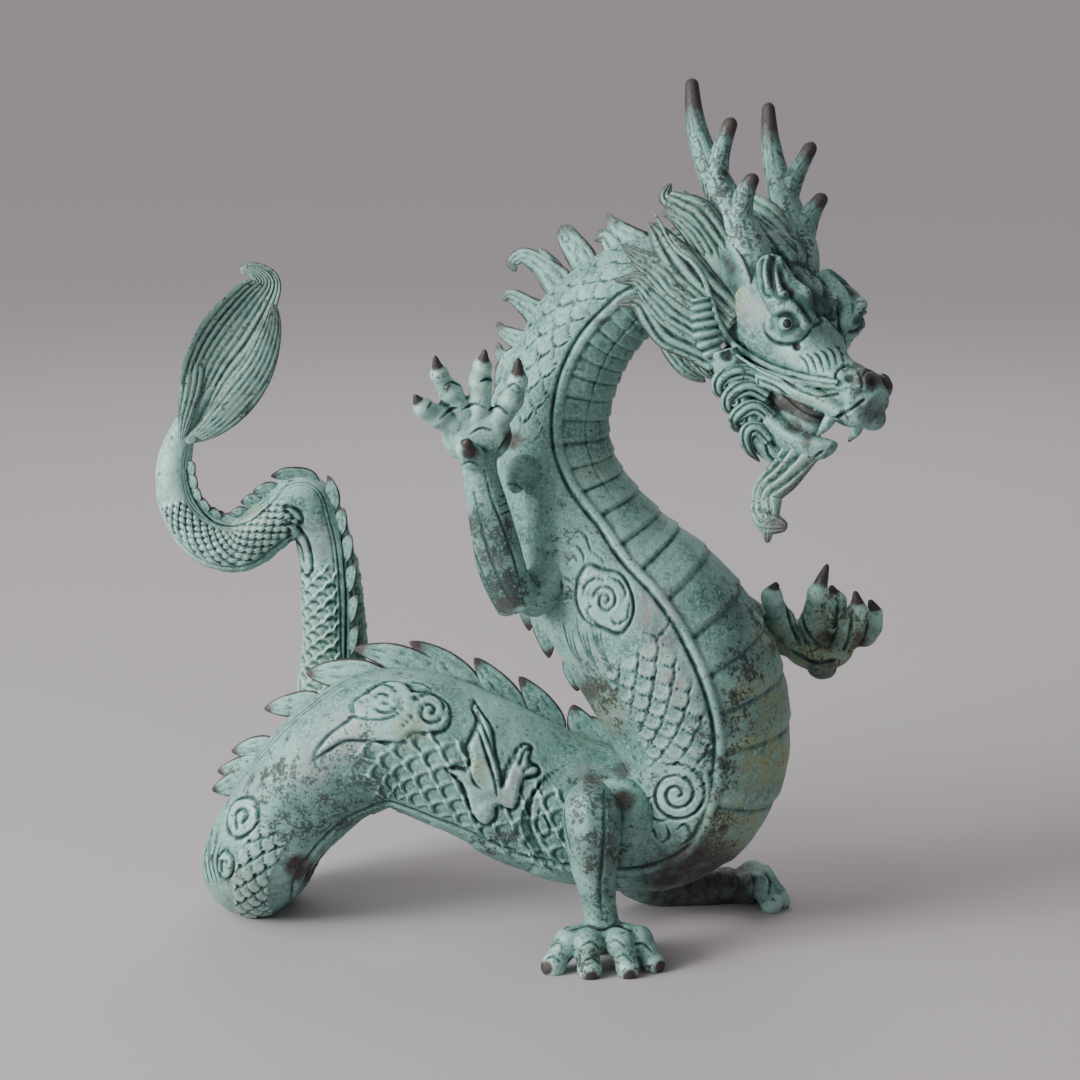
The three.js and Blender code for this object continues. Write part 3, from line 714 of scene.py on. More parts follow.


# Tints of the patina on the shown side, and dark spots that are partly painted shade: pixel, radius and
# strength
ROSE_SPOTS = [
    (752, 312, 22, 0.8), (591, 777, 9, 1.0), (720, 262, 10, 0.5), (655, 612, 30, 0.9),
    (660, 650, 26, 0.7), (676, 690, 30, 0.7), (590, 660, 24, 0.5), (590, 775, 22, 0.6),
    (345, 735, 34, 0.8), (310, 765, 30, 0.6), (512, 790, 26, 0.8), (250, 790, 24, 0.3),
    (318, 540, 26, 0.5), (608, 715, 22, 0.5),
]
WARM_SPOTS = [
    (728, 296, 26, 0.9), (800, 408, 24, 0.25), (816, 394, 22, 0.4), (832, 262, 24, 0.4),
    (835, 640, 46, 0.9), (600, 960, 24, 0.4), (765, 760, 46, 1.0), (760, 700, 44, 0.8),
    (735, 830, 50, 0.8), (770, 640, 26, 0.7), (595, 712, 40, 0.7), (410, 730, 22, 0.8),
    (478, 770, 18, 0.8), (250, 525, 40, 0.5), (590, 470, 22, 0.3), (300, 655, 60, 0.35),
    (240, 890, 34, 0.4),
]
SPECK_SPOTS = [
    (570, 520, 40, 0.5), (560, 600, 30, 0.6), (800, 290, 40, 0.8), (740, 400, 40, 0.5),
    (780, 200, 60, 0.6), (240, 380, 60, 0.5), (600, 960, 60, 0.6), (690, 250, 50, 0.4),
    (592, 800, 36, 1.0), (598, 850, 36, 1.0), (602, 900, 30, 0.9), (592, 950, 40, 0.6),
    (482, 540, 44, 1.3), (500, 590, 34, 1.4), (800, 250, 50, 0.8), (860, 376, 30, 0.9),
    (846, 410, 30, 0.7), (830, 630, 50, 0.8), (350, 790, 75, 1.0), (300, 800, 60, 0.9),
    (600, 690, 40, 1.0), (620, 720, 36, 0.8), (745, 660, 34, 0.9), (740, 610, 30, 0.8),
    (740, 715, 36, 0.9), (720, 770, 40, 0.8), (720, 830, 40, 0.7), (590, 830, 60, 0.8),
    (500, 850, 50, 0.7), (700, 730, 24, 0.7), (480, 745, 30, 0.4), (640, 760, 40, 0.4),
]
PALE_SPOTS = [
    (180, 480, 60, 0.8), (190, 540, 50, 0.6), (240, 370, 70, 0.7), (470, 400, 60, 0.7),
    (600, 490, 50, 0.4), (640, 560, 60, 0.5), (560, 640, 40, 0.4), (680, 670, 40, 0.6),
    (510, 710, 60, 0.5), (330, 570, 50, 0.5), (280, 860, 40, 0.3), (800, 350, 34, 0.6),
]
# Dark spots: dark patina on the claws, brow and nose, and painted shade in the mouth and in the crevice
# between the near leg and the belly
DARK_AND_SHADE_SPOTS = [
    (794, 426, 13, 0.7), (806, 440, 12, 0.6), (800, 275, 34, 0.3), (820, 290, 22, 0.3),
    (845, 290, 30, 0.5), (838, 270, 22, 0.4), (872, 376, 18, 0.8), (868, 410, 22, 0.5),
    (545, 968, 10, 1.1), (592, 979, 10, 1.1), (630, 977, 10, 1.1), (662, 968, 10, 1.1),
    (552, 942, 7, 0.6), (495, 560, 16, 0.5), (470, 520, 10, 0.5), (592, 780, 14, 0.6),
    (610, 840, 12, 0.5), (780, 648, 20, 0.5), (826, 640, 18, 0.6), (860, 640, 14, 0.7),
    (850, 610, 10, 0.7), (778, 470, 14, 0.6), (760, 492, 14, 0.6), (730, 300, 8, 0.9),
    (729, 268, 8, 0.8), (700, 376, 12, 0.6), (848, 300, 32, 0.5), (816, 262, 30, 0.3),
    (862, 372, 18, 0.6), (470, 452, 12, 0.8), (512, 440, 16, 0.7), (506, 606, 18, 0.6),
    # The spot at (625, 800) is painted shade in the crevice between the near leg and the belly
    (700, 890, 80, 0.8), (806, 424, 26, 0.4), (300, 868, 20, 0.9), (625, 800, 16, 0.9),
    (590, 690, 16, 0.6), (622, 770, 14, 0.7), (600, 860, 40, 0.4),
]


UNEVENNESS = [(46, 0.3), (19, 0.2), (6, 0.09)]  # sizes of the bumps, and heights in millimetres


def uneven(points):
    """The unevenness of a hand-made casting."""
    return MILLIMETRE * sum(height * noise(points, size) for size, height in UNEVENNESS)


def body_part(first, last, rings, near, far, ornaments):
    """A stretch of the body as a fine carved skin."""
    fine = np.linspace(first, last, 900)
    lengths = travelled(fine)
    stations = np.interp(np.linspace(lengths[0], lengths[-1], rings), lengths, fine)
    near_angles = -np.pi + np.pi * np.arange(near) / near
    far_angles = np.pi * np.arange(far) / far
    angles = np.concatenate([near_angles, far_angles])
    sides = len(angles)
    s = np.repeat(stations, sides)
    a = np.tile(angles, rings)
    height, hollow, worn, seen, facing, domes = body_relief(s, a, ornaments)
    points, way = body_skin(s, a)
    height = height + uneven(points)
    points = points + way * height[:, None]
    ends = body_frame(np.array([first, last], float))[0]
    points = np.concatenate([points, ends])
    pad = (0, 2)
    seen = np.pad(seen, (pad, (0, 0)))
    facing = np.pad(facing, pad)
    rose = patch(seen, facing, ROSE_SPOTS) + 0.35 * np.pad(domes, pad)
    return shell(
        points, grid_faces(rings, sides), hollow=np.pad(hollow, pad), rose=np.clip(rose, 0, 1),
        warm=patch(seen, facing, WARM_SPOTS), speck=patch(seen, facing, SPECK_SPOTS),
        # The dark spots are dark patina, with painted shade in the mouth and beside the near leg
        dark=patch(seen, facing, DARK_AND_SHADE_SPOTS),
        worn=np.maximum(np.pad(worn, pad), patch(seen, facing, PALE_SPOTS)),
    )


# Bars: bent tubes of an oval section, with strands along them where they are hair or fins
ROUND_END = (0.04, 0.3)  # least and most, of a bar's length
BEAD_SWELL = 0.12
STRAND_SWING = 0.22
BALL_MESH = (18, 28)  # rings and sides
LOFT_MESH = (60, 64)


def tube(points, radii, sides=24, rings=40, face=(0, -1, 0), flat=1.0, strands=0, depth=0.35,
         beads=0, cup=0.0, tip_dark=0.0, rim=0.0, **finish):
    """A bar through points, with half widths across the way it faces. Strands are cut along it,
    beads round it, and a cup hollows its face. Tip and rim say how dark its end and edges are."""
    path = curve(points, rings)
    share = np.linspace(0, 1, rings)
    width = np.maximum(curve(np.reshape(radii, (-1, 1)), rings)[:, 0], 0.4)
    length = np.linalg.norm(np.diff(path, axis=0), axis=1).sum()
    round_end = np.clip(width[-1] / length, *ROUND_END)
    past = np.clip((share - 1 + round_end) / round_end, 0, 0.98)
    swell = BEAD_SWELL * np.cos(2 * np.pi * beads * share) * (beads > 0)
    width = width * np.sqrt(1 - past ** 2) * (1 + swell)
    along = unit(np.gradient(path, axis=0))
    face = np.asarray(face, float)
    up = unit(face - along * (along @ face)[:, None])
    side = np.cross(along, up)
    angle = 2 * np.pi * np.arange(sides) / sides
    across = np.sin(angle)[None, :, None]
    rise = np.cos(angle)[None, :, None]
    cut = np.zeros((rings, sides, 1))
    if strands:
        swing = STRAND_SWING * np.sin(6 * share + 2 * strands)[:, None, None]
        cut = 1 - np.abs(np.cos((across + swing) * strands * np.pi / 2)) ** 0.7
        cut = cut * step(0.05, 0.35, np.abs(rise))
    if beads:
        between_beads = 0.5 - 0.5 * np.cos(2 * np.pi * beads * share[:, None, None])
        cut = cut + between_beads * np.ones((1, sides, 1))
    reach = width[:, None, None]
    points = path[:, None] + side[:, None] * across * reach
    points = points + up[:, None] * rise * reach * flat * (1 - depth * cut)
    points = points - up[:, None] * reach * cup * (1 - across ** 2)
    share = share[:, None]
    hollow = 0.8 * np.clip(cut[..., 0], 0, 1) ** 1.5 + 0.6 * (cup > 0) * (1 - across[..., 0] ** 2) ** 2
    made_dark = tip_dark * step(0.55, 0.95, share) * np.ones((1, sides))
    made_dark = np.maximum(made_dark, rim * step(0.72, 0.98, np.abs(across[..., 0])))
    made = {"hollow": hollow, "dark": np.maximum(made_dark, finish.pop("dark", 0.0))}
    flat_points = np.concatenate([points.reshape(-1, 3), path[:1], path[-1:]])
    values = {name: np.pad(value.ravel(), (0, 2), mode="edge") for name, value in made.items()}
    values.update(finish)
    return shell(flat_points, grid_faces(rings, sides), **values)


def ball(centre, sizes, ways=np.eye(3), **finish):
    """An oval lump with its half sizes along three ways."""
    rings, sides = BALL_MESH
    polar = np.linspace(0, np.pi, rings + 2)[1:-1]
    angle = -2 * np.pi * np.arange(sides) / sides
    x = np.outer(np.sin(polar), np.cos(angle)).ravel()
    y = np.outer(np.sin(polar), np.sin(angle)).ravel()
    z = np.outer(np.cos(polar), np.ones(sides)).ravel()
    points = np.concatenate([np.stack([x, y, z], -1), [[0, 0, 1], [0, 0, -1]]])
    spread = np.asarray(ways) * np.asarray(sizes, float)[:, None]
    faces = grid_faces(rings, sides)
    if np.linalg.det(spread) < 0:
        faces = faces[:, ::-1]
    return shell(points @ spread + np.asarray(centre, float), faces, **finish)


def added(name, data):
    """A new object in the scene."""
    made = bpy.data.objects.new(name, data)
    bpy.context.collection.objects.link(made)
    return made


def as_object(name, made):
    mesh = bpy.data.meshes.new(name)
    mesh.vertices.add(len(made["points"]))
    mesh.vertices.foreach_set("co", made["points"].astype(np.float32).ravel())
    count = len(made["faces"])
    mesh.loops.add(3 * count)
    mesh.loops.foreach_set("vertex_index", made["faces"].astype(np.int32).ravel())
    mesh.polygons.add(count)
    mesh.polygons.foreach_set("loop_start", np.arange(0, 3 * count, 3, dtype=np.int32))
    mesh.update(calc_edges=True)
    return added(name, mesh)


def fused(shells, voxel, rounds=3):
    """One even skin over shells that run into each other."""
    source = joined(shells)
    made = as_object("fusing", source)
    change = made.modifiers.new("skin", "REMESH")
    change.mode = "VOXEL"
    change.voxel_size = voxel / DETAIL
    shape = made.evaluated_get(bpy.context.evaluated_depsgraph_get()).to_mesh()
    points = np.empty(3 * len(shape.vertices), np.float32)
    shape.vertices.foreach_get("co", points)
    shape.calc_loop_triangles()
    faces = np.empty(3 * len(shape.loop_triangles), np.int32)
    shape.loop_triangles.foreach_get("vertices", faces)
    points = points.reshape(-1, 3).astype(float)
    faces = faces.reshape(-1, 3)
    tree = BVHTree.FromPolygons(source["points"].tolist(), source["faces"].tolist())
    nearest = np.array([tree.find_nearest(point)[2] for point in points.tolist()])
    corner = source["faces"][nearest, 0]
    values = {name: averaged(source[name][corner], faces) for name in FINISHES}
    mesh = made.data
    bpy.data.objects.remove(made)
    bpy.data.meshes.remove(mesh)
    return shell(relaxed(points, faces, rounds), faces, **values)


def raised(made, height, hollow):
    """Moves each point out of the skin by its height, and adds to the hollows."""
    made["points"] = made["points"] + normals(made["points"], made["faces"]) * np.reshape(height, (-1, 1))
    made["hollow"] = np.maximum(made["hollow"], hollow)
    return made


# The crest: leaf-shaped hooks along the back. A pixel gives the station and the height of a point
STATION_TRIES, HEIGHT_TRIES = np.meshgrid(np.linspace(0, SPINE_END, 1400), np.linspace(-10, 60, 36))
STATION_TRIES, HEIGHT_TRIES = STATION_TRIES.ravel(), HEIGHT_TRIES.ravel()
CREST_SEEN = project(body_skin(STATION_TRIES, np.zeros_like(STATION_TRIES), HEIGHT_TRIES)[0])


def on_crest(pixel, stations):
    gap = np.linalg.norm(CREST_SEEN - np.asarray(pixel, float), axis=1)
    gap = np.where((STATION_TRIES > stations[0]) & (STATION_TRIES < stations[1]), gap, 1e9)
    best = np.argmin(gap)
    return STATION_TRIES[best], HEIGHT_TRIES[best]


def fin(pixels, widths, stations, strands, **finish):
    """A leaf of the crest whose middle line runs through pixels, root first."""
    points = []
    for pixel in pixels:
        station, height = on_crest(pixel, stations)
        points.append(body_skin(np.array([station]), np.array([0.0]), height)[0][0])
    side = body_frame(np.array([station]))[3][0]
    return tube(points, widths, sides=36, rings=30, face=side, flat=0.32, strands=strands,
                depth=0.4, **finish)


NECK_FINS = [
    ([(668, 272), (642, 248), (618, 230), (607, 214)], [4, 19, 13, 2.5], 3),
    ([(648, 276), (622, 252), (606, 238), (594, 240)], [4, 16, 10, 2.5], 2),
    ([(600, 290), (584, 262), (570, 240), (561, 227)], [4, 17, 14, 9], 3),
    ([(586, 310), (560, 284), (540, 264), (522, 256), (513, 262), (516, 272)], [4, 19, 13, 9, 7, 2.5], 3),
    ([(574, 300), (556, 274), (545, 258), (538, 247)], [4, 12, 8, 2], 1),
    ([(578, 342), (550, 322), (528, 306), (512, 296), (502, 300)], [4, 19, 13, 8, 2.5], 3),
    ([(566, 366), (540, 350), (518, 340), (504, 332), (497, 322)], [4, 18, 13, 8, 2.5], 3),
    ([(556, 388), (534, 374), (514, 364), (502, 354), (497, 343)], [4, 17, 12, 8, 2.5], 3),
    ([(548, 406), (528, 394), (512, 386), (501, 376), (497, 364)], [4, 15, 11, 7, 2.5], 2),
]
BACK_FINS = [(506, 392), (503, 428), (502, 466), (503, 504), (506, 542), (510, 576), (520, 608),
             (527, 632), (548, 657), (576, 690)]
ARCH_FINS = [(590, 716), (576, 701), (520, 677), (477, 655), (414, 634), (352, 635), (299, 658),
             (262, 706), (227, 746), (217, 770), (213, 790)]
HOOK_STATIONS = np.array([-0.86, -0.55, -0.28, -0.08, 0.02])  # from a hook's root to its tip
HOOK_HEIGHTS = np.array([-0.55, -0.08, 0.38, 0.8, 1.0])
HOOK_WIDTHS = np.array([0.3, 1.25, 1.2, 0.62, 0.14])
HOOK_WIDTH = 14
BACK_HEIGHTS = (14, 30)  # least and most height of a hook
ARCH_HEIGHTS = (12, 30)
BACK_SHARE = 0.9  # shares of a hook's width
BEND_SHARE = 0.8
BEND_EDGE = 280  # left of this pixel, on the body's left bend, the hooks are smaller
TAIL_SHARE = 0.58
TAIL_HOOKS = np.arange(20.8, 31.8, 0.46)  # stations
TAIL_HOOK_HEIGHTS = [(19, 10), (22, 12), (24, 16), (31.5, 9)]


def hook(station, height, width, **finish):
    """A small leaf of the crest that leans towards the tail."""
    stations = np.clip(station + HOOK_STATIONS * width / HOOK_WIDTH, 0, SPINE_END)
    points = body_skin(stations, np.zeros(5), HOOK_HEIGHTS * height)[0]
    side = body_frame(stations)[3][2]
    return tube(points, HOOK_WIDTHS * width, sides=28, rings=20, face=side, flat=0.3, strands=3,
                depth=0.45, tip_dark=1.1, rim=1.1, **finish)


def crest():
    shells = [fin(pixels, widths, (0, 6.5), strands, tip_dark=0.7, rim=0.9)
              for pixels, widths, strands in NECK_FINS]
    for pixel in BACK_FINS:
        station, height = on_crest(pixel, (4, 11.2))
        shells.append(hook(station, np.clip(height, *BACK_HEIGHTS), BACK_SHARE * HOOK_WIDTH))
    for pixel in ARCH_FINS:
        station, height = on_crest(pixel, (11.4, 20))
        size = BEND_SHARE if pixel[0] < BEND_EDGE else 1.0
        shells.append(hook(station, np.clip(height, *ARCH_HEIGHTS), size * HOOK_WIDTH))
    for station in TAIL_HOOKS:
        height = np.interp(station, *zip(*TAIL_HOOK_HEIGHTS))
        shells.append(hook(station, height, TAIL_SHARE * HOOK_WIDTH))
    return joined(shells)


# The tail fin: a cupped leaf whose ribs run to its curled tip
FIN_RIM = np.array([
    [-404, 124, 592, 14, 8],
    [-402, 120, 625, 25, 6],
    [-385, 115, 665, 34, 5],
    [-361, 112, 700, 38, 5],
    [-335, 113, 735, 30, 5],
    [-320, 114, 757, 17, 5],
    [-334, 112, 772, 9, 5],
    [-348, 111, 770, 4, 4],
])
FIN_FACE = np.array([0.25, -0.95, -0.1])
FIN_CUP = 0.35
FIN_RIBS = 9
FIN_DEPTH = 108
FIN_LOBES = [
    ([(186, 442), (212, 426), (238, 400), (258, 368), (270, 330), (274, 304)], [4, 15, 21, 20, 14, 4], 6),
    ([(182, 438), (188, 402), (194, 366), (207, 328)], [4, 12, 14, 3], 4),
]


def tail_fin():
    rings, sides = 120, 96
    path = curve(FIN_RIM[:, :3], rings)
    sizes = curve(FIN_RIM[:, 3:], rings)
    along = unit(np.gradient(path, axis=0))
    up = unit(FIN_FACE - along * (along @ FIN_FACE)[:, None])
    side = np.cross(along, up)
    angle = 2 * np.pi * np.arange(sides) / sides
    across = np.sin(angle)[None]
    share = np.linspace(0, 1, rings)[:, None]
    ribs = np.abs(np.cos(across * FIN_RIBS * np.pi / 2)) ** 0.7
    cut = (1 - ribs) * step(0.02, 0.2, share) * (1 - step(0.85, 1.0, share))
    rise = np.cos(angle)[None] * sizes[:, 1:2] * (1 - 0.45 * cut)
    rise = rise + FIN_CUP * across ** 2 * sizes[:, :1]
    points = path[:, None] + side[:, None] * (across * sizes[:, :1])[..., None]
    points = points + up[:, None] * rise[..., None]
    points = np.concatenate([points.reshape(-1, 3), path[:1], path[-1:]])
    pad = (0, 2)
    edge = step(0.8, 1.0, np.abs(across)) * np.ones((rings, 1))
    leaf = shell(points, grid_faces(rings, sides), hollow=np.pad((0.7 * cut).ravel(), pad),
                 dark=np.pad((0.8 * edge * (across > 0)).ravel(), pad),
                 warm=np.pad((0.35 * (1 - edge)).ravel(), pad), speck=0.3, worn=0.5)
    shells = [leaf]
    for pixels, widths, strands in FIN_LOBES:
        points = [shown(pixel, FIN_DEPTH) for pixel in pixels]
        shells.append(tube(points, widths, sides=56, rings=44, face=FIN_FACE, flat=0.24,
                           strands=strands, depth=0.5, tip_dark=0.6, rim=0.6, warm=0.2, speck=0.3,
                           worn=0.4))
    return joined(shells)


# Limbs, from the same lines as the solid's
def digit(points, radius, face):
    """A finger or toe: a fleshy bar with two knuckles, and a dark claw that ends it."""
    radii = [radius, 1.02 * radius, 0.78 * radius, 0.2 * radius]
    path = curve(points, 10)
    return [
        tube(points, radii, sides=30, rings=34, face=face, tip_dark=1.3),
        ball(path[3], [1.22 * radius] * 3),
        ball(path[6], [0.98 * radius] * 3, worn=0.6),
    ]


def digits(lines, radius, face):
    return [made for points in lines for made in digit(points, radius, face)]


LIMB_UNEVEN = 0.8  # share of the casting's unevenness


def limb(shells, voxel, ornaments):
    """A limb as one skin, with its creases."""
    made = fused(shells, voxel)
    points, faces = made["points"], made["faces"]
    way = normals(points, faces)
    seen = project(points)
    facing = np.sum(way * unit(EYE_POINT - points), -1)
    carving = Carving(seen, facing, ornaments)
    painted(made, seen, facing)
    return raised(made, carving.height + LIMB_UNEVEN * uneven(points), carving.hollow)


def painted(made, seen, facing):
    """Adds the tints of the patina, with the painted shade among the dark spots, where the photograph shows
    them.
    """
    for name, spots in (("rose", ROSE_SPOTS), ("warm", WARM_SPOTS), ("speck", SPECK_SPOTS),
                        ("dark", DARK_AND_SHADE_SPOTS), ("worn", PALE_SPOTS)):
        made[name] = np.maximum(made[name], patch(seen, facing, spots))


# The creases of the limbs, in pixels of the photograph
TOE_CREASES = [
    [(572, 931), (588, 926), (602, 930), (616, 926), (632, 932)],
    [(550, 948), (558, 942), (566, 950)],
    [(582, 946), (592, 942), (600, 950)],
    [(606, 944), (616, 940), (626, 948)],
    [(634, 944), (644, 944), (652, 952)],
    [(545, 960), (553, 956), (560, 962)],
    [(584, 962), (592, 958), (600, 964)],
    [(616, 958), (625, 955), (633, 962)],
]
NEAR_LEG_CREASES = {
    "stroke": [([(588, 800), (586, 840), (590, 880), (594, 915)], 9, 0.7, 0.6)],
    "cut": [
        ([(566, 768), (563, 790), (564, 820), (570, 850)], 1.6, 0.5, 0.6),
        ([(580, 764), (592, 758), (606, 764), (614, 780)], 1.4, 0.4, 0.6),
        ([(604, 790), (604, 840), (600, 885), (602, 915)], 2.4, 0.35, 0.6),
        *[(crease, 1.2, 0.5, 0.5) for crease in TOE_CREASES],
    ],
}
FAR_LEG_CREASES = {
    "fan": [([(700, 872), (706, 882), (704, 896)], [(764, 872), (770, 882), (768, 896)], 5, 1.4, 0.6, 0.5)],
}
PALM_PADS = [((459, 424), 7), ((476, 418), 7), ((492, 420), 7), ((462, 444), 8), ((500, 430), 8)]
FINGER_CREASES = [
    [(440, 420), (450, 410), (462, 408)],
    [(462, 410), (474, 404), (486, 408)],
    [(488, 410), (498, 406), (508, 414)],
    [(428, 408), (434, 400), (442, 402)],
    [(444, 386), (453, 382), (462, 386)],
    [(480, 382), (488, 379), (496, 383)],
    [(506, 388), (514, 384), (521, 389)],
    [(470, 434), (482, 428), (494, 432)],
    [(498, 452), (506, 438), (518, 422)],
    [(460, 466), (470, 462), (480, 466)],
]
NEAR_ARM_CREASES = {
    "stroke": [([(468, 500), (474, 540), (488, 585)], 7, 0.5, 0.7)],
    "bump": [(*pad, 0.7) for pad in PALM_PADS],
    "cut": [
        ([(474, 492), (482, 528), (494, 566), (512, 602)], 1.4, 0.45, 0.4),
        ([(466, 500), (472, 540), (486, 580), (500, 606)], 1.3, 0.4, 0.6),
        ([(484, 470), (492, 500), (504, 530), (514, 560), (522, 590)], 1.3, 0.4, 0.5),
        *[(crease, 1.3, 0.55, 0.5) for crease in FINGER_CREASES],
    ],
    "fan": [([(500, 488), (512, 484), (524, 490)], [(500, 515), (512, 511), (524, 517)], 4, 1.2, 0.5, 0.5)],
}
FAR_HAND_LINES = [
    [(786, 604), (792, 625), (800, 645)],
    [(800, 606), (806, 630), (820, 648)],
    [(838, 600), (836, 625), (830, 645)],
    [(852, 610), (850, 632), (844, 650)],
    [(868, 612), (864, 634), (858, 652)],
    [(790, 650), (812, 662), (836, 660)],
]
FAR_HAND_CREASES = {"cut": [(crease, 1.8, 0.8, 0.4) for crease in FAR_HAND_LINES]}


# Each limb's bars are rows of points, the root first. Voxels are the grain of its one skin
NEAR_LEG_VOXEL = 2.1
FAR_LEG_VOXEL = 2.7
NEAR_ARM_VOXEL = 1.9
FAR_ARM_VOXEL = 2.3


def near_leg():
    thigh = [[108, -34, 118], [92, -68, 166], [72, -94, 182]]
    shin = [[60, -104, 216], [58, -108, 194], [59, -112, 166], [61, -117, 122], [67, -121, 76],
            [73, -122, 34]]
    toes = [
        [[70, -122, 40], [34, -136, 36], [15, -146, 11], [4, -152, 4]],
        [[72, -126, 40], [54, -144, 36], [56, -160, 11], [58, -172, 4]],
        [[76, -126, 40], [92, -144, 36], [99, -158, 11], [104, -169, 4]],
        [[80, -122, 40], [112, -132, 36], [128, -139, 11], [139, -145, 4]],
        [[74, -112, 38], [66, -94, 32], [60, -80, 11], [57, -70, 4]],
    ]
    sole = ball([73, -124, 38], [30, 24, 19])
    return limb([
        tube(thigh, [42, 42, 28], face=(1, 0, 0)),
        tube(shin, [12, 30, 33, 27, 20, 21], face=(1, 0, 0)),
        sole,
        *digits(toes, 14.5, (0.3, 0.3, 1)),
    ], NEAR_LEG_VOXEL, NEAR_LEG_CREASES)


def far_leg():
    shin = [[110, 62, 70], [126, 84, 38], [165, 96, 22], [212, 98, 23], [246, 96, 28]]
    toes = [
        [[242, 88, 28], [260, 74, 34], [278, 66, 12], [288, 60, 4]],
        [[246, 94, 28], [270, 88, 34], [290, 82, 12], [302, 78, 4]],
        [[246, 100, 28], [268, 102, 34], [288, 104, 12], [300, 106, 4]],
        [[242, 104, 28], [258, 116, 34], [274, 126, 12], [282, 134, 4]],
    ]
    hip = ball([104, 46, 92], [52, 36, 50], dark=0.3)
    sole = ball([248, 96, 22], [24, 26, 20], dark=0.45)
    return limb([
        hip,
        tube(shin, [40, 30, 24, 23, 22], face=(0, 0, 1), dark=0.45),
        sole,
        *digits(toes, 13.5, (0, 0.3, 1)),
    ], FAR_LEG_VOXEL, FAR_LEG_CREASES)


def near_arm():
    upper = [[46, -34, 474], [6, -66, 436], [-24, -90, 418]]
    fore = [[-24, -92, 416], [-42, -98, 462], [-55, -102, 520], [-66, -102, 570], [-70, -101, 604]]
    fingers = [
        [[-88, -102, 618], [-112, -112, 636], [-128, -124, 648], [-138, -132, 664]],
        [[-82, -102, 632], [-98, -108, 662], [-110, -120, 684], [-115, -130, 708]],
        [[-66, -102, 634], [-66, -108, 674], [-63, -120, 692], [-60, -130, 714]],
        [[-48, -102, 624], [-32, -106, 654], [-25, -116, 676], [-24, -126, 704]],
        [[-64, -108, 584], [-74, -126, 592], [-80, -142, 604], [-78, -154, 618]],
    ]
    spur = [[-8, -40, 560], [-22, -58, 566], [-30, -66, 540]]
    palm = ball([-70, -100, 612], [39, 18, 33])
    return limb([
        tube(upper, [26, 25, 25]),
        tube(fore, [24, 27, 24, 20, 24], flat=0.9),
        palm,
        tube(spur, [18, 16, 10], face=(1, 0, 0)),
        *digits(fingers, 12, (1, 0.1, 0)),
    ], NEAR_ARM_VOXEL, NEAR_ARM_CREASES)


def far_arm():
    arm = [[170, 70, 400], [230, 84, 366], [282, 90, 340], [322, 90, 330]]
    fingers = [
        [[298, 84, 328], [284, 68, 362], [272, 58, 392], [278, 54, 412]],
        [[328, 78, 336], [322, 62, 362], [326, 58, 396], [337, 58, 434]],
        [[348, 84, 330], [366, 70, 348], [374, 66, 372], [370, 64, 400]],
        [[356, 94, 332], [384, 92, 340], [398, 90, 358], [390, 88, 384]],
        [[340, 104, 330], [352, 116, 348], [354, 120, 372], [346, 116, 394]],
    ]
    palm = ball([332, 90, 322], [42, 30, 26], warm=0.9)
    heel = ball([334, 70, 304], [18, 16, 14], dark=0.6)
    return limb([
        tube(arm, [34, 28, 23, 26], warm=0.7),
        palm,
        heel,
        *digits(fingers, 14, (0.6, 0.2, 0.1)),
    ], FAR_ARM_VOXEL, FAR_HAND_CREASES)


# The head has its own frame between the eyes: forward along the snout, side to its right, and up
HEAD_AT = np.array([306.0, -95.0, 735.0])
HEAD_TURN, HEAD_BOW, HEAD_ROLL = np.radians([50, 22, 15])


def turned(axis, angle):
    i, j = (axis + 1) % 3, (axis + 2) % 3
    made = np.eye(3)
    made[i, i] = made[j, j] = math.cos(angle)
    made[j, i] = math.sin(angle)
    made[i, j] = -math.sin(angle)
    return made


HEAD_WAYS = turned(2, -HEAD_TURN) @ turned(1, HEAD_BOW) @ turned(0, -HEAD_ROLL)
FORWARD, RIGHT, CROWN = HEAD_WAYS[:, 0], -HEAD_WAYS[:, 1], HEAD_WAYS[:, 2]
HEAD_FRAME = np.stack([FORWARD, RIGHT, CROWN])


def head_spot(points):
    return HEAD_AT + np.asarray(points, float) @ HEAD_FRAME


def head_way(way):
    return np.asarray(way, float) @ HEAD_FRAME


MIRROR = np.array([1.0, -1.0, 1.0])


def head_tube(points, radii, face=(0, 1, 0), **more):
    return tube(head_spot(points), radii, face=head_way(face), **more)


def head_pair(points, radii, face=(0, 1, 0), **more):
    return [head_tube(points, radii, face, **more),
            head_tube(np.asarray(points) * MIRROR, radii, np.asarray(face) * MIRROR, **more)]


SKULL = np.array([
    [-146, -30, 26, 30, 32],
    [-112, -18, 52, 52, 54],
    [-70, -10, 64, 54, 72],
    [-25, -16, 62, 46, 62],
    [12, -26, 48, 34, 42],
    [44, -34, 36, 24, 38],
    [74, -36, 32, 26, 40],
    [102, -34, 30, 26, 38],
    [122, -34, 18, 16, 24],
])
JAW = np.array([
    [-70, -82, 46, 26, 30],
    [-25, -98, 46, 18, 32],
    [20, -110, 36, 12, 26],
    [56, -114, 26, 10, 22],
    [84, -106, 17, 9, 17],
    [96, -100, 8, 6, 9],
])


def loft(rows):
    """An oval body along the head: rows of forward, up, half width, and heights over and under."""
    rings, sides = LOFT_MESH
    path = head_spot(curve(np.stack([rows[:, 0], 0 * rows[:, 0], rows[:, 1]], -1), rings))
    sizes = curve(rows[:, 2:], rings)
    angle = 2 * np.pi * np.arange(sides) / sides
    rise, across = np.cos(angle)[None], np.sin(angle)[None]
    tall = np.where(rise > 0, sizes[:, 1:2], sizes[:, 2:3])
    points = path[:, None] + CROWN * (rise * tall)[..., None]
    points = points + RIGHT * (across * sizes[:, :1])[..., None]
    points = np.concatenate([points.reshape(-1, 3), path[:1], path[-1:]])
    return shell(points, grid_faces(rings, sides))


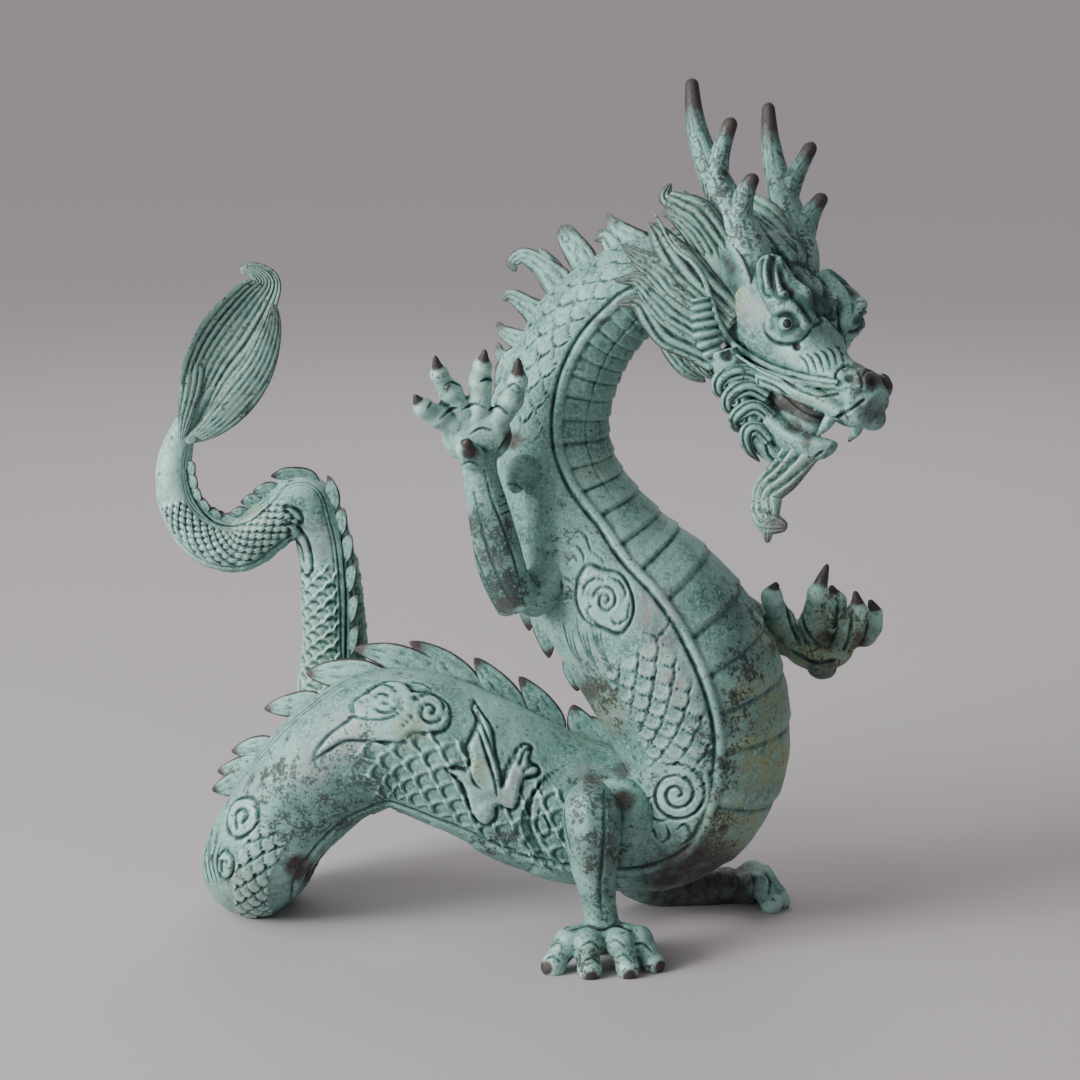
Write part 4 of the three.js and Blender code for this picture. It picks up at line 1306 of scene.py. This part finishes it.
UPPER_LIP = [[104, 26, -58], [70, 34, -60], [34, 42, -66], [-4, 52, -76]]
THROAT = [[-50, 0, -74], [0, 0, -78], [40, 0, -84], [66, 0, -88]]
LIP = [[96, 30, -30], [62, 40, -44], [14, 58, -62], [-40, 72, -64]]
WHISKER = [*LIP, [-84, 76, -40], [-140, 76, 0], [-196, 62, 14]]
WHISKER_LINE = [(838, 383), (822, 380), (804, 377), (789, 373), (774, 368), (760, 361), (746, 353),
                (733, 344), (723, 330), (716, 315), (710, 296), (703, 277), (692, 262), (678, 251),
                (669, 240), (662, 226), (654, 212)]
WHISKER_HALF = 3.4
TIGHT_ROUNDS = 12
SMOOTH_ROUNDS = 4

# A jowl: a line of pixels, the depths of its ends and its half widths
JOWL = ([(724, 350), (731, 374), (739, 400), (752, 426), (766, 448), (790, 462)], -92, -116)
JOWL_RADII = [20, 17, 16, 15, 12, 8]
EYE_PIXEL = (787, 323.5)
EYE_RADIUS = 10
PUPIL_RADIUS = 5.5
EYE_SIDE = 51
HEAD_VOXEL = 1.7
HEAD_UNEVEN = 0.7

# The head's carving, in pixels of the photograph
BROW_STRANDS = [
    [(769, 254), (767, 272), (769, 290)],
    [(776, 258), (777, 276), (781, 292), (788, 292)],
    [(780, 258), (788, 280), (800, 294), (810, 310), (816, 318)],
    [(790, 272), (798, 288), (808, 299), (818, 309)],
    [(798, 270), (808, 284), (818, 296), (826, 308)],
]
FAR_BROW_STRANDS = [
    [(840, 268), (852, 284), (853, 302)],
    [(838, 284), (845, 300), (843, 318)],
    [(853, 276), (859, 296), (853, 318)],
]
FOREHEAD_LINES = [
    [(762, 210), (780, 232), (803, 258), (822, 284), (832, 308)],
    [(770, 204), (790, 232), (812, 260), (829, 286)],
    [(756, 222), (772, 240), (790, 262), (806, 278)],
    [(782, 214), (802, 240), (822, 266), (836, 290)],
    [(750, 234), (762, 248), (776, 258)],
]
CHEEK_SPIRALS = [(720, 387), (733, 403), (740, 421)]
SNOUT_WRINKLES = ([(800, 356), (806, 362), (810, 374)], [(835, 346), (841, 352), (845, 369)])
CHEEK_LINES = ([(694, 300), (704, 304), (717, 301)], [(698, 348), (708, 352), (717, 349)])
TEMPLE_LINES = ([(690, 268), (700, 280), (702, 292)], [(717, 280), (727, 295), (729, 310)])
HEAD_CARVING = {
    "stroke": [
        # The eye's socket between its lids, and the groove beside the whisker
        (oval(EYE_PIXEL, 18, 15), 4.5, 0.8),
        (oval(EYE_PIXEL, 24, 21)[1:15], 3.0, -0.25, 0.8, False),
        (WHISKER_LINE, 5.5, -0.45),
    ],
    "pit": [
        # The eye, its corner, the nostrils and the ear's foot
        (EYE_PIXEL, 12.5, 1.0),
        ((797, 347), 4, 0.8),
        ((849, 378), 4.5, 1.3),
        ((872, 382), 4.0, 1.2),
        ((727, 355), 7, 1.2),
    ],
    "rib": [
        *[(strand, 3.0, 1.7, 0.5) for strand in BROW_STRANDS],
        *[(strand, 2.2, 1.0, 0.4) for strand in FAR_BROW_STRANDS],
    ],
    "fan": [
        (*SNOUT_WRINKLES, 6, 1.2, 0.5, 0.5),
        (*CHEEK_LINES, 5, 1.8, 0.9, 0.5),
        (*TEMPLE_LINES, 4, 1.2, 0.5, 0.6),
    ],
    "spiral": [(centre, 8, 1.2, -60, 1.0, 1.5, 0.8) for centre in CHEEK_SPIRALS],
    "cut": [
        *[(line, 1.8, 0.8, 0.4) for line in FOREHEAD_LINES],
        # Round the nostrils
        ([(838, 386), (836, 374), (846, 366), (858, 370), (861, 380)], 1.4, 0.7),
        ([(862, 388), (864, 374), (874, 370), (884, 376), (884, 388)], 1.4, 0.6),
        # The lips
        ([(754, 378), (777, 388), (797, 406), (812, 415), (831, 419), (846, 412), (864, 400)], 1.5, 0.8),
        ([(757, 366), (778, 377), (800, 390), (820, 396), (838, 394)], 1.2, 0.5),
        # The edge of the jaw and its curls
        ([(748, 370), (760, 388), (764, 410), (758, 430), (748, 444), (752, 458), (762, 468)], 1.5, 0.8),
        ([(766, 438), (769, 455), (783, 464), (806, 462), (822, 452)], 1.4, 0.7),
        ([(700, 372), (706, 388), (716, 402), (722, 420), (734, 436)], 1.2, 0.5),
    ],
}


def far_side(points):
    """The same points mirrored to the head's other side."""
    own = (np.asarray(points) - HEAD_AT) @ HEAD_FRAME.T
    return head_spot(own * MIRROR)


# Lumps of the head: the centre forward, to the side and up, and half sizes to the side, forward and up
SIDE_LUMPS = {
    "nostril": ([98, 17, -22], [15, 17, 15]),
    "muzzle": ([110, 15, -52], [16, 18, 15]),
    "eye": ([-2, 47, -8], [15, 18, 15]),
}
MIDDLE_LUMPS = {
    "tongue": ([24, 0, -96], [20, 48, 12]),
    "back of the skull": ([-144, 0, -32], [28, 20, 31]),
    "crown between the horns": ([-98, 0, 38], [42, 36, 22]),
}
BROW = [[-66, 44, 34], [-36, 54, 24], [-10, 54, 14], [16, 30, 2]]
TEETH = 4
TOOTH = np.array([[70, 24, -58], [68, 25, -74]])
TOOTH_PACE = np.array([-16, 4, 0])


def head():
    shells = [loft(SKULL), loft(JAW)]
    ways = np.stack([RIGHT, FORWARD, CROWN])
    for hand in (1, -1):
        for centre, sizes in SIDE_LUMPS.values():
            shells.append(ball(head_spot(np.array(centre) * [1, hand, 1]), sizes, ways))
    for centre, sizes in MIDDLE_LUMPS.values():
        shells.append(ball(head_spot(centre), sizes, ways))
    jowl = seen_line(*JOWL)
    for points in (jowl, far_side(jowl)):
        shells.append(tube(points, JOWL_RADII, rings=30))
    shells += head_pair(BROW, [15, 20, 19, 10], (0, 0.4, 1))
    shells += head_pair(LIP, [4, 5, 4, 0.5])
    shells += head_pair(UPPER_LIP, [9, 10, 10, 8])
    # The throat fills the mouth, and is painted dark as the shade inside the open mouth
    shells.append(head_tube(THROAT, [38, 34, 24, 12], (0, 0, 1), flat=0.8, dark=0.75))
    for k in range(TEETH):
        shells += head_pair(TOOTH + k * TOOTH_PACE, [5, 2.5], (1, 0, 0), rings=14)
    made = fused(shells, HEAD_VOXEL, rounds=2)
    own = (made["points"] - HEAD_AT) @ HEAD_FRAME.T
    way = normals(made["points"], made["faces"]) @ HEAD_FRAME.T
    flip = np.where(own[:, 1:2] < 0, MIRROR, 1.0)
    near = head_spot(own * flip)
    near_way = head_way(way * flip)
    seen = project(near)
    facing = np.sum(near_way * unit(EYE_POINT - near), -1)
    carving = Carving(seen, facing, HEAD_CARVING)
    painted(made, seen, facing)
    return raised(made, carving.height + HEAD_UNEVEN * uneven(made["points"]), carving.hollow)


def head_parts():
    shells = []
    ear = [[-58, 56, -20], [-78, 66, 0], [-98, 72, 18], [-122, 74, 38]]
    fang = [[92, 24, -62], [93, 27, -78], [90, 28, -94]]
    horn = [[-78, 30, 6], [-112, 50, 42], [-196, 64, 94], [-236, 68, 126], [-267, 69, 162]]
    upper_branch = [[-170, 62, 78], [-180, 68, 110], [-183, 73, 152]]
    lower_branch = [[-118, 56, 48], [-128, 60, 82], [-126, 63, 112]]
    grooves = {"strands": 4, "depth": 0.07, "sides": 40, "tip_dark": 1.0, "speck": 0.7, "dark": 0.1}
    shells += head_pair(ear, [12, 19, 16, 2], (0.3, 1, 0.1), flat=0.4, cup=0.45, sides=36,
                        rim=0.8)
    shells += head_pair(fang, [7, 6, 1.2], (1, 0, 0), tip_dark=0.5)
    shells += head_pair(horn, [26, 24, 15, 11, 7], rings=90, **grooves)
    shells += head_pair(upper_branch, [14, 11, 7.5], **grooves)
    shells += head_pair(lower_branch, [16, 12, 7], **grooves)
    far_whisker = np.asarray(WHISKER) * MIRROR
    shells.append(head_tube(far_whisker, [WHISKER_HALF] * len(WHISKER), rings=90, sides=20))
    shells.append(eyeball())
    return joined(shells)


def near_whisker(shells):
    """A thin rope laid over these shells along a line of pixels."""
    source = joined(shells)
    tree = BVHTree.FromPolygons(source["points"].tolist(), source["faces"].tolist())
    line = curve(WHISKER_LINE, 80)
    hits = [tree.ray_cast(Vector(EYE_POINT), Vector(sight(pixel)))[0] for pixel in line]
    depths = np.array([np.nan if hit is None else hit.y for hit in hits])
    met = np.flatnonzero(~np.isnan(depths))
    depths = np.interp(np.arange(len(line)), met, depths[met])
    # The rope is drawn tight towards the camera, and then smoothed
    for k in range(TIGHT_ROUNDS + SMOOTH_ROUNDS):
        mean = 0.25 * (depths[:-2] + 2 * depths[1:-1] + depths[2:])
        depths[1:-1] = np.minimum(depths[1:-1], mean) if k < TIGHT_ROUNDS else mean
    points = [shown(pixel, depth) for pixel, depth in zip(line, depths)]
    return tube(points, [WHISKER_HALF, WHISKER_HALF, 0.5 * WHISKER_HALF], rings=160, sides=16, rim=0.6)


def eyeball():
    """The near eye, where the photograph sees it, and its like on the far side."""
    way = unit(sight(EYE_PIXEL))
    own_way = HEAD_FRAME @ way
    start = HEAD_FRAME @ (EYE_POINT - HEAD_AT)
    depth = (EYE_SIDE - start[1]) / own_way[1]
    spot = start + depth * own_way
    shells = []
    for hand in (1, -1):
        centre = spot * [1, hand, 1]
        out = -own_way * [1, hand, 1]
        pupil_at = head_spot(centre + 0.62 * EYE_RADIUS * out)
        shells.append(ball(head_spot(centre), [EYE_RADIUS] * 3, hollow=0.25))
        shells.append(ball(pupil_at, [PUPIL_RADIUS] * 3, hollow=1.0))
    return joined(shells)


# The mane, the crown lock and the beard. The near locks are lines of pixels, root first, with the
# depths of both ends and the widest half width
NEAR_LOCKS = [
    ([(744, 282), (726, 248), (708, 220), (690, 205), (675, 203), (665, 195), (671, 183)], -70, -44, 15),
    ([(736, 306), (716, 268), (696, 236), (676, 216), (660, 214)], -76, -50, 14),
    ([(734, 318), (708, 290), (688, 268), (670, 250), (658, 234), (650, 222)], -86, -62, 20),
    ([(728, 330), (698, 304), (674, 288), (658, 270), (640, 258), (621, 244)], -92, -62, 18),
    ([(712, 322), (686, 308), (662, 290), (644, 274), (630, 262)], -94, -66, 14),
    ([(722, 344), (694, 326), (670, 314), (654, 298), (638, 280), (614, 281)], -96, -72, 17),
    ([(716, 362), (690, 346), (668, 334), (652, 318), (638, 303), (616, 304)], -96, -74, 17),
    ([(664, 300), (668, 324), (674, 346), (686, 368), (706, 382)], -70, -84, 16),
    ([(690, 330), (694, 350), (702, 366), (716, 380)], -84, -92, 12),
]
JAW_CURLS = [
    ([(764, 378), (746, 372), (728, 374), (718, 383), (720, 393), (730, 394)], -112, -106, 10),
    ([(768, 396), (752, 388), (738, 390), (728, 399), (729, 409), (739, 410)], -116, -110, 10),
    ([(772, 418), (758, 408), (746, 409), (735, 418), (737, 428), (747, 428)], -120, -114, 9),
    ([(770, 440), (756, 428), (746, 434), (748, 448), (760, 462)], -124, -120, 9),
]
GILL = ([(700, 298), (704, 318), (708, 340), (716, 362)], -98, -104, 13)
GILL_TEETH = 7
FAR_LOCKS = [
    [[-108, -26, 42], [-160, -40, 54], [-205, -50, 56], [-224, -46, 82], 21],
    [[-104, -50, 20], [-160, -70, 28], [-208, -82, 32], [-242, -78, 54], 25],
    [[-96, -60, -12], [-150, -82, -12], [-198, -96, -8], [-232, -98, 12], 26],
    [[-88, -62, -42], [-136, -84, -50], [-178, -98, -54], [-212, -102, -40], 24],
    [[-80, -58, -68], [-112, -76, -86], [-140, -88, -104], [-166, -88, -112], 20],
    [[-50, -48, -96], [-60, -60, -122], [-76, -64, -142], [-100, -60, -150], 18],
]
BEARD = [[58, 0, -116], [54, 0, -156], [46, 0, -188], [62, 0, -212], [92, 0, -206]]
BEARD_TUFT = [[52, 0, -190], [66, 0, -214], [78, 0, -234]]
NAPE_GIRTHS = [30, 62, 94, 126, 158]  # degrees from the back, on the hidden side of the neck
NAPE_STATIONS = np.array([0.0, 0.45, 0.95, 1.5])
NAPE_HEIGHTS = np.array([5.0, 9.0, 8.0, 2.0])
CROWN_LOCK = [[-110, 0, 44], [-158, 20, 46], [-196, 38, 34], [-226, 44, 46]]


def seen_line(pixels, near, far):
    """Points that pixels show, at depths from one end of the line to the other."""
    depths = np.linspace(near, far, len(pixels))
    return [shown(pixel, depth) for pixel, depth in zip(pixels, depths)]


def lock(pixels, near, far, width, **more):
    radii = np.interp(np.linspace(0, 1, 6), [0, 0.4, 0.75, 1], [0.8, 1.0, 0.7, 0.12]) * width
    points = curve(seen_line(pixels, near, far), 6)
    return tube(points, radii, face=(-0.1, -1, 0.15), **more)


def mane():
    shells = []
    comb = {"depth": 0.6, "sides": 48, "rings": 40}
    for k, row in enumerate(NEAR_LOCKS):
        shells.append(lock(*row, flat=0.55, strands=3 + k % 2, tip_dark=0.6, rim=0.8, speck=0.35,
                           warm=0.3 if k < 5 else 0.15, **comb))
    for row in JAW_CURLS:
        shells.append(lock(*row, flat=0.8, strands=2, tip_dark=0.7, rim=0.5, speck=0.4, **comb))
    gill, near, far, width = GILL
    shells.append(tube(seen_line(gill, near, far), [0.7 * width, width, width, 0.5 * width],
                       face=(0, -1, 0), flat=0.5, depth=0.16, beads=GILL_TEETH, rings=80, sides=40))
    for root, bend, turn, tip, width in FAR_LOCKS:
        radii = [0.9 * width, width, 0.8 * width, 2.5]
        points = head_spot([root, bend, turn, tip])
        shells.append(tube(points, radii, face=head_way([0.3, -1, 0.1]), flat=0.6, strands=4,
                           tip_dark=0.5, rim=0.5, warm=0.2, **comb))
    # The nape: a round end to the neck, and locks that lie on it
    shells.append(ball(SPINE[0, :3], [SPINE[0, 3] - 1] * 3))
    for girth in NAPE_GIRTHS:
        angles = np.full(len(NAPE_STATIONS), math.radians(girth))
        points, ways = body_skin(NAPE_STATIONS, angles, NAPE_HEIGHTS)
        shells.append(tube(points, [17, 20, 15, 2.5], face=ways[1], flat=0.5, strands=4, tip_dark=0.6,
                           rim=0.6, warm=0.2, **comb))
    shells.append(head_tube(CROWN_LOCK, [26, 28, 22, 3], (0.4, 0, 1), flat=0.6, strands=5, **comb))
    shells.append(head_tube(BEARD, [28, 22, 19, 17, 5], flat=0.75, strands=4, tip_dark=0.7,
                            rim=0.5, warm=0.4, speck=0.4, **comb))
    shells.append(head_tube(BEARD_TUFT, [15, 11, 3], flat=0.8, strands=3, tip_dark=0.8, **comb))
    return joined(shells)


# The finish: verdigris powder over brown bronze, dark in the hollows, worn on the edges
class Nodes:
    def __init__(self, material):
        self.tree = material.node_tree

    def put(self, socket, value):
        if isinstance(value, bpy.types.NodeSocket):
            self.tree.links.new(value, socket)
        else:
            socket.default_value = value

    def add(self, kind, inputs=(), **settings):
        node = self.tree.nodes.new(kind)
        for name, value in settings.items():
            setattr(node, name, value)
        for name, value in dict(inputs).items():
            self.put(node.inputs[name], value)
        return node

    def value(self, name):
        return self.add("ShaderNodeAttribute", attribute_name=name).outputs["Fac"]

    def grain(self, place, scale, detail, roughness):
        inputs = {"Vector": place, "Scale": scale, "Detail": detail, "Roughness": roughness}
        return self.add("ShaderNodeTexNoise", inputs).outputs["Fac"]

    def span(self, value, low, high, to_low=0.0, to_high=1.0):
        inputs = {"Value": value, "From Min": low, "From Max": high, "To Min": to_low, "To Max": to_high}
        node = self.add("ShaderNodeMapRange", inputs, interpolation_type="SMOOTHSTEP")
        return node.outputs["Result"]

    def times(self, first, second):
        return self.add("ShaderNodeMath", {0: first, 1: second}, operation="MULTIPLY").outputs[0]

    def plus(self, first, second):
        return self.add("ShaderNodeMath", {0: first, 1: second}, operation="ADD").outputs[0]

    def blend(self, share, first, second):
        # A colour mix has its share as input 0, its colours as inputs 6 and 7, and output 2
        inputs = {0: share, 6: first, 7: second}
        return self.add("ShaderNodeMix", inputs, data_type="RGBA").outputs[2]


def colour(red, green, blue):
    return (red, green, blue, 1.0)


TURQUOISE = colour(0.16, 0.33, 0.30)
MINT = colour(0.42, 0.66, 0.60)
TEAL = colour(0.035, 0.115, 0.11)
BROWN = colour(0.013, 0.011, 0.010)
UMBER = colour(0.05, 0.040, 0.038)
OLIVE = colour(0.29, 0.32, 0.14)
MAUVE = colour(0.30, 0.25, 0.27)
# Grains of the patina, in waves to the metre
CLOUD_GRAIN = 55
MOTTLE_GRAIN = 240
POWDER_GRAIN = 900
FLECK_GRAIN = 2600
METALNESS = 0.2
GRAIN_DEPTH = 0.0006  # metres


def verdigris():
    material = bpy.data.materials.new("verdigris_bronze")
    material.use_nodes = True
    n = Nodes(material)
    shader = material.node_tree.nodes["Principled BSDF"]
    place = n.add("ShaderNodeTexCoord").outputs["Object"]
    cloud = n.grain(place, CLOUD_GRAIN, 5, 0.6)
    mottle = n.grain(place, MOTTLE_GRAIN, 6, 0.65)
    powder = n.grain(place, POWDER_GRAIN, 5, 0.7)
    fleck = n.grain(place, FLECK_GRAIN, 3, 0.6)
    hollow, worn, dark, warm, rose, speck = [n.value(name) for name in FINISHES]
    # The powder, from teal to mint, with its tints and brown blotches
    tone = n.blend(n.span(cloud, 0.38, 0.62), TEAL, TURQUOISE)
    tone = n.blend(n.times(n.span(mottle, 0.36, 0.64), 0.7), tone, TURQUOISE)
    tone = n.blend(n.times(n.span(powder, 0.44, 0.64), 0.6), tone, MINT)
    tone = n.blend(n.times(worn, n.span(mottle, 0.3, 0.6, 0.35, 0.9)), tone, MINT)
    tone = n.blend(n.times(warm, n.span(mottle, 0.36, 0.62, 0.15, 0.85)), tone, OLIVE)
    tone = n.blend(n.times(rose, n.span(mottle, 0.38, 0.62, 0.8, 0.1)), tone, MAUVE)
    blotch = n.times(n.span(cloud, 0.52, 0.68), n.span(mottle, 0.46, 0.6))
    tone = n.blend(n.times(blotch, 0.55), tone, UMBER)
    # Speckles crowd together where the finish is mottled, and a few lie everywhere
    crowd = n.plus(n.times(speck, 0.095), n.span(cloud, 0.45, 0.7, 0.0, 0.04))
    patchy = n.plus(n.times(powder, 0.55), n.times(mottle, 0.45))
    crowd = n.plus(patchy, crowd)
    tone = n.blend(n.times(n.span(crowd, 0.555, 0.64), 0.85), tone, BROWN)
    tone = n.blend(n.times(n.span(fleck, 0.62, 0.7), 0.5), tone, BROWN)
    tone = n.blend(n.times(n.span(fleck, 0.4, 0.32), 0.35), tone, MINT)
    # Dirt in the hollows, and the dark tips and edges; the dark value also brings painted shade in the
    # mouth and beside the near leg
    dirt = n.times(hollow, n.span(mottle, 0.3, 0.66, 1.15, 0.55))
    tone = n.blend(n.span(dirt, 0.08, 0.55), tone, TEAL)
    tone = n.blend(n.times(n.span(dirt, 0.38, 0.95), 0.92), tone, BROWN)
    # Umber from the dark value: dark tips and edges, and painted shade in the mouth and in the crevice
    # beside the near leg
    edge = n.times(dark, n.span(mottle, 0.3, 0.7, 1.2, 0.7))
    tone = n.blend(n.span(edge, 0.1, 0.9), tone, UMBER)
    n.put(shader.inputs["Base Color"], tone)
    n.put(shader.inputs["Roughness"], n.span(powder, 0.35, 0.7, 0.5, 0.74))
    n.put(shader.inputs["Metallic"], METALNESS)
    relief = n.plus(n.times(mottle, 0.5), n.times(powder, 0.3))
    bump = n.add("ShaderNodeBump", {"Height": relief, "Strength": 0.45, "Distance": GRAIN_DEPTH})
    n.put(shader.inputs["Normal"], bump.outputs["Normal"])
    return material


FINISH = verdigris()


def piece(name, made, ways=None):
    """A piece of the sculpture from a shell: placed in metres, finished and held by the root."""
    if ways is None:
        made = weathered(made)
    made["points"] = np.clip((made["points"] - ORIGIN) * UNIT, cad_low, cad_high)
    made_object = as_object(name, made)
    mesh = made_object.data
    mesh.polygons.foreach_set("use_smooth", np.ones(len(mesh.polygons), bool))
    for value in FINISHES:
        layer = mesh.attributes.new(value, "FLOAT", "POINT")
        layer.data.foreach_set("value", made[value].astype(np.float32))
    mesh.materials.append(FINISH)
    if ways is not None:
        mesh.normals_split_custom_set_from_vertices(ways.tolist())
    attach(made_object, "root")
    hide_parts("dragon")


# The body's mesh: the gap between rings, and points round its shown and its hidden half
TRUNK_MESH = (2.4, 156, 54)
TAIL_MESH = (2.4, 88, 44)
TRUNK_END = 20.0


def body_pieces(names, first, last, mesh, ornaments):
    """A stretch of the body as pieces that share the rings where they meet."""
    spacing, near, far = mesh
    length = np.diff(travelled(np.array([first, last], float)))[0]
    rings = int(DETAIL * length / spacing)
    near, far = int(DETAIL * near), int(DETAIL * far)
    sides = near + far
    made = weathered(body_part(first, last, rings, near, far, ornaments))
    ways = normals(made["points"], made["faces"])
    cuts = np.linspace(0, rings - 1, len(names) + 1).astype(int)
    for name, start, end in zip(names, cuts[:-1], cuts[1:]):
        rows = np.arange(start * sides, (end + 1) * sides)
        points = made["points"][rows]
        ends = np.stack([points[:sides].mean(0), points[-sides:].mean(0)])
        part = {value: np.pad(made[value][rows], (0, 2)) for value in FINISHES}
        part["points"] = np.concatenate([points, ends])
        part["faces"] = grid_faces(end - start + 1, sides)
        along = unit(ends[1:] - ends[:1])
        piece(name, part, np.concatenate([ways[rows], -along, along]))


body_pieces(["neck", "chest", "arch"], 0, TRUNK_END, TRUNK_MESH, FLANK)
body_pieces(["tail"], TRUNK_END, SPINE_END, TAIL_MESH, TAIL)
piece("crest", crest())
piece("tail_fin", tail_fin())
piece("near_leg", near_leg())
piece("far_leg", far_leg())
piece("near_arm", near_arm())
piece("far_arm", far_arm())
head_made, mane_made = head(), mane()
horns_made = joined([head_parts(), near_whisker([head_made, mane_made])])
piece("head", head_made)
piece("horns_and_whiskers", horns_made)
piece("mane", mane_made)

# The floor, the light and the camera, in metres and watts
FLOOR_HALF = 40.0
FLOOR_COLOUR = colour(0.44, 0.41, 0.42)
FLOOR_ROUGHNESS = 0.8
WORLD_COLOUR = colour(0.62, 0.58, 0.60)
WORLD_STRENGTH = 0.5
MIDDLE = (0.0, 0.0, 0.13)
SUN_WAY = (1.0, 0.4, -0.8)
SUN_STRENGTH = 1.9
SUN_SPREAD = math.radians(50)

corners = [(-FLOOR_HALF, -FLOOR_HALF, 0), (FLOOR_HALF, -FLOOR_HALF, 0),
           (FLOOR_HALF, FLOOR_HALF, 0), (-FLOOR_HALF, FLOOR_HALF, 0)]
floor = bpy.data.meshes.new("floor")
floor.from_pydata(corners, [], [(0, 1, 2, 3)])
floor_object = added("floor", floor)
paint = bpy.data.materials.new("floor")
paint.use_nodes = True
paint_inputs = paint.node_tree.nodes["Principled BSDF"].inputs
paint_inputs["Base Color"].default_value = FLOOR_COLOUR
paint_inputs["Roughness"].default_value = FLOOR_ROUGHNESS
floor.materials.append(paint)

world = bpy.data.worlds.new("studio")
bpy.context.scene.world = world
world.use_nodes = True
sky = world.node_tree.nodes["Background"].inputs
sky["Color"].default_value = WORLD_COLOUR
sky["Strength"].default_value = WORLD_STRENGTH


def aim(made, way):
    made.rotation_euler = Vector(way).to_track_quat("-Z", "Y").to_euler()


def lamp(name, place, size, power, tint):
    """A square lamp that faces the sculpture."""
    light = bpy.data.lights.new(name, "AREA")
    light.size = size
    light.energy = power
    light.color = tint
    made = added(name, light)
    made.location = place
    aim(made, Vector(MIDDLE) - Vector(place))


lamp("key", place=(-1.1, -0.65, 0.55), size=0.5, power=23, tint=(1.0, 0.99, 0.97))
lamp("back", place=(0.1, 0.9, 0.9), size=0.8, power=4, tint=(1.0, 0.98, 0.96))

# A broad soft light that reaches the whole floor alike
broad = bpy.data.lights.new("broad", "SUN")
broad.energy = SUN_STRENGTH
broad.angle = SUN_SPREAD
aim(added("broad", broad), SUN_WAY)

camera_data = bpy.data.cameras.new("camera")
camera_data.lens = LENS
camera_data.sensor_width = SENSOR
camera = added("camera", camera_data)
camera.location = (EYE_POINT - ORIGIN) * UNIT
camera.rotation_euler = (math.pi / 2 - PITCH, 0, 0)
bpy.context.scene.camera = camera
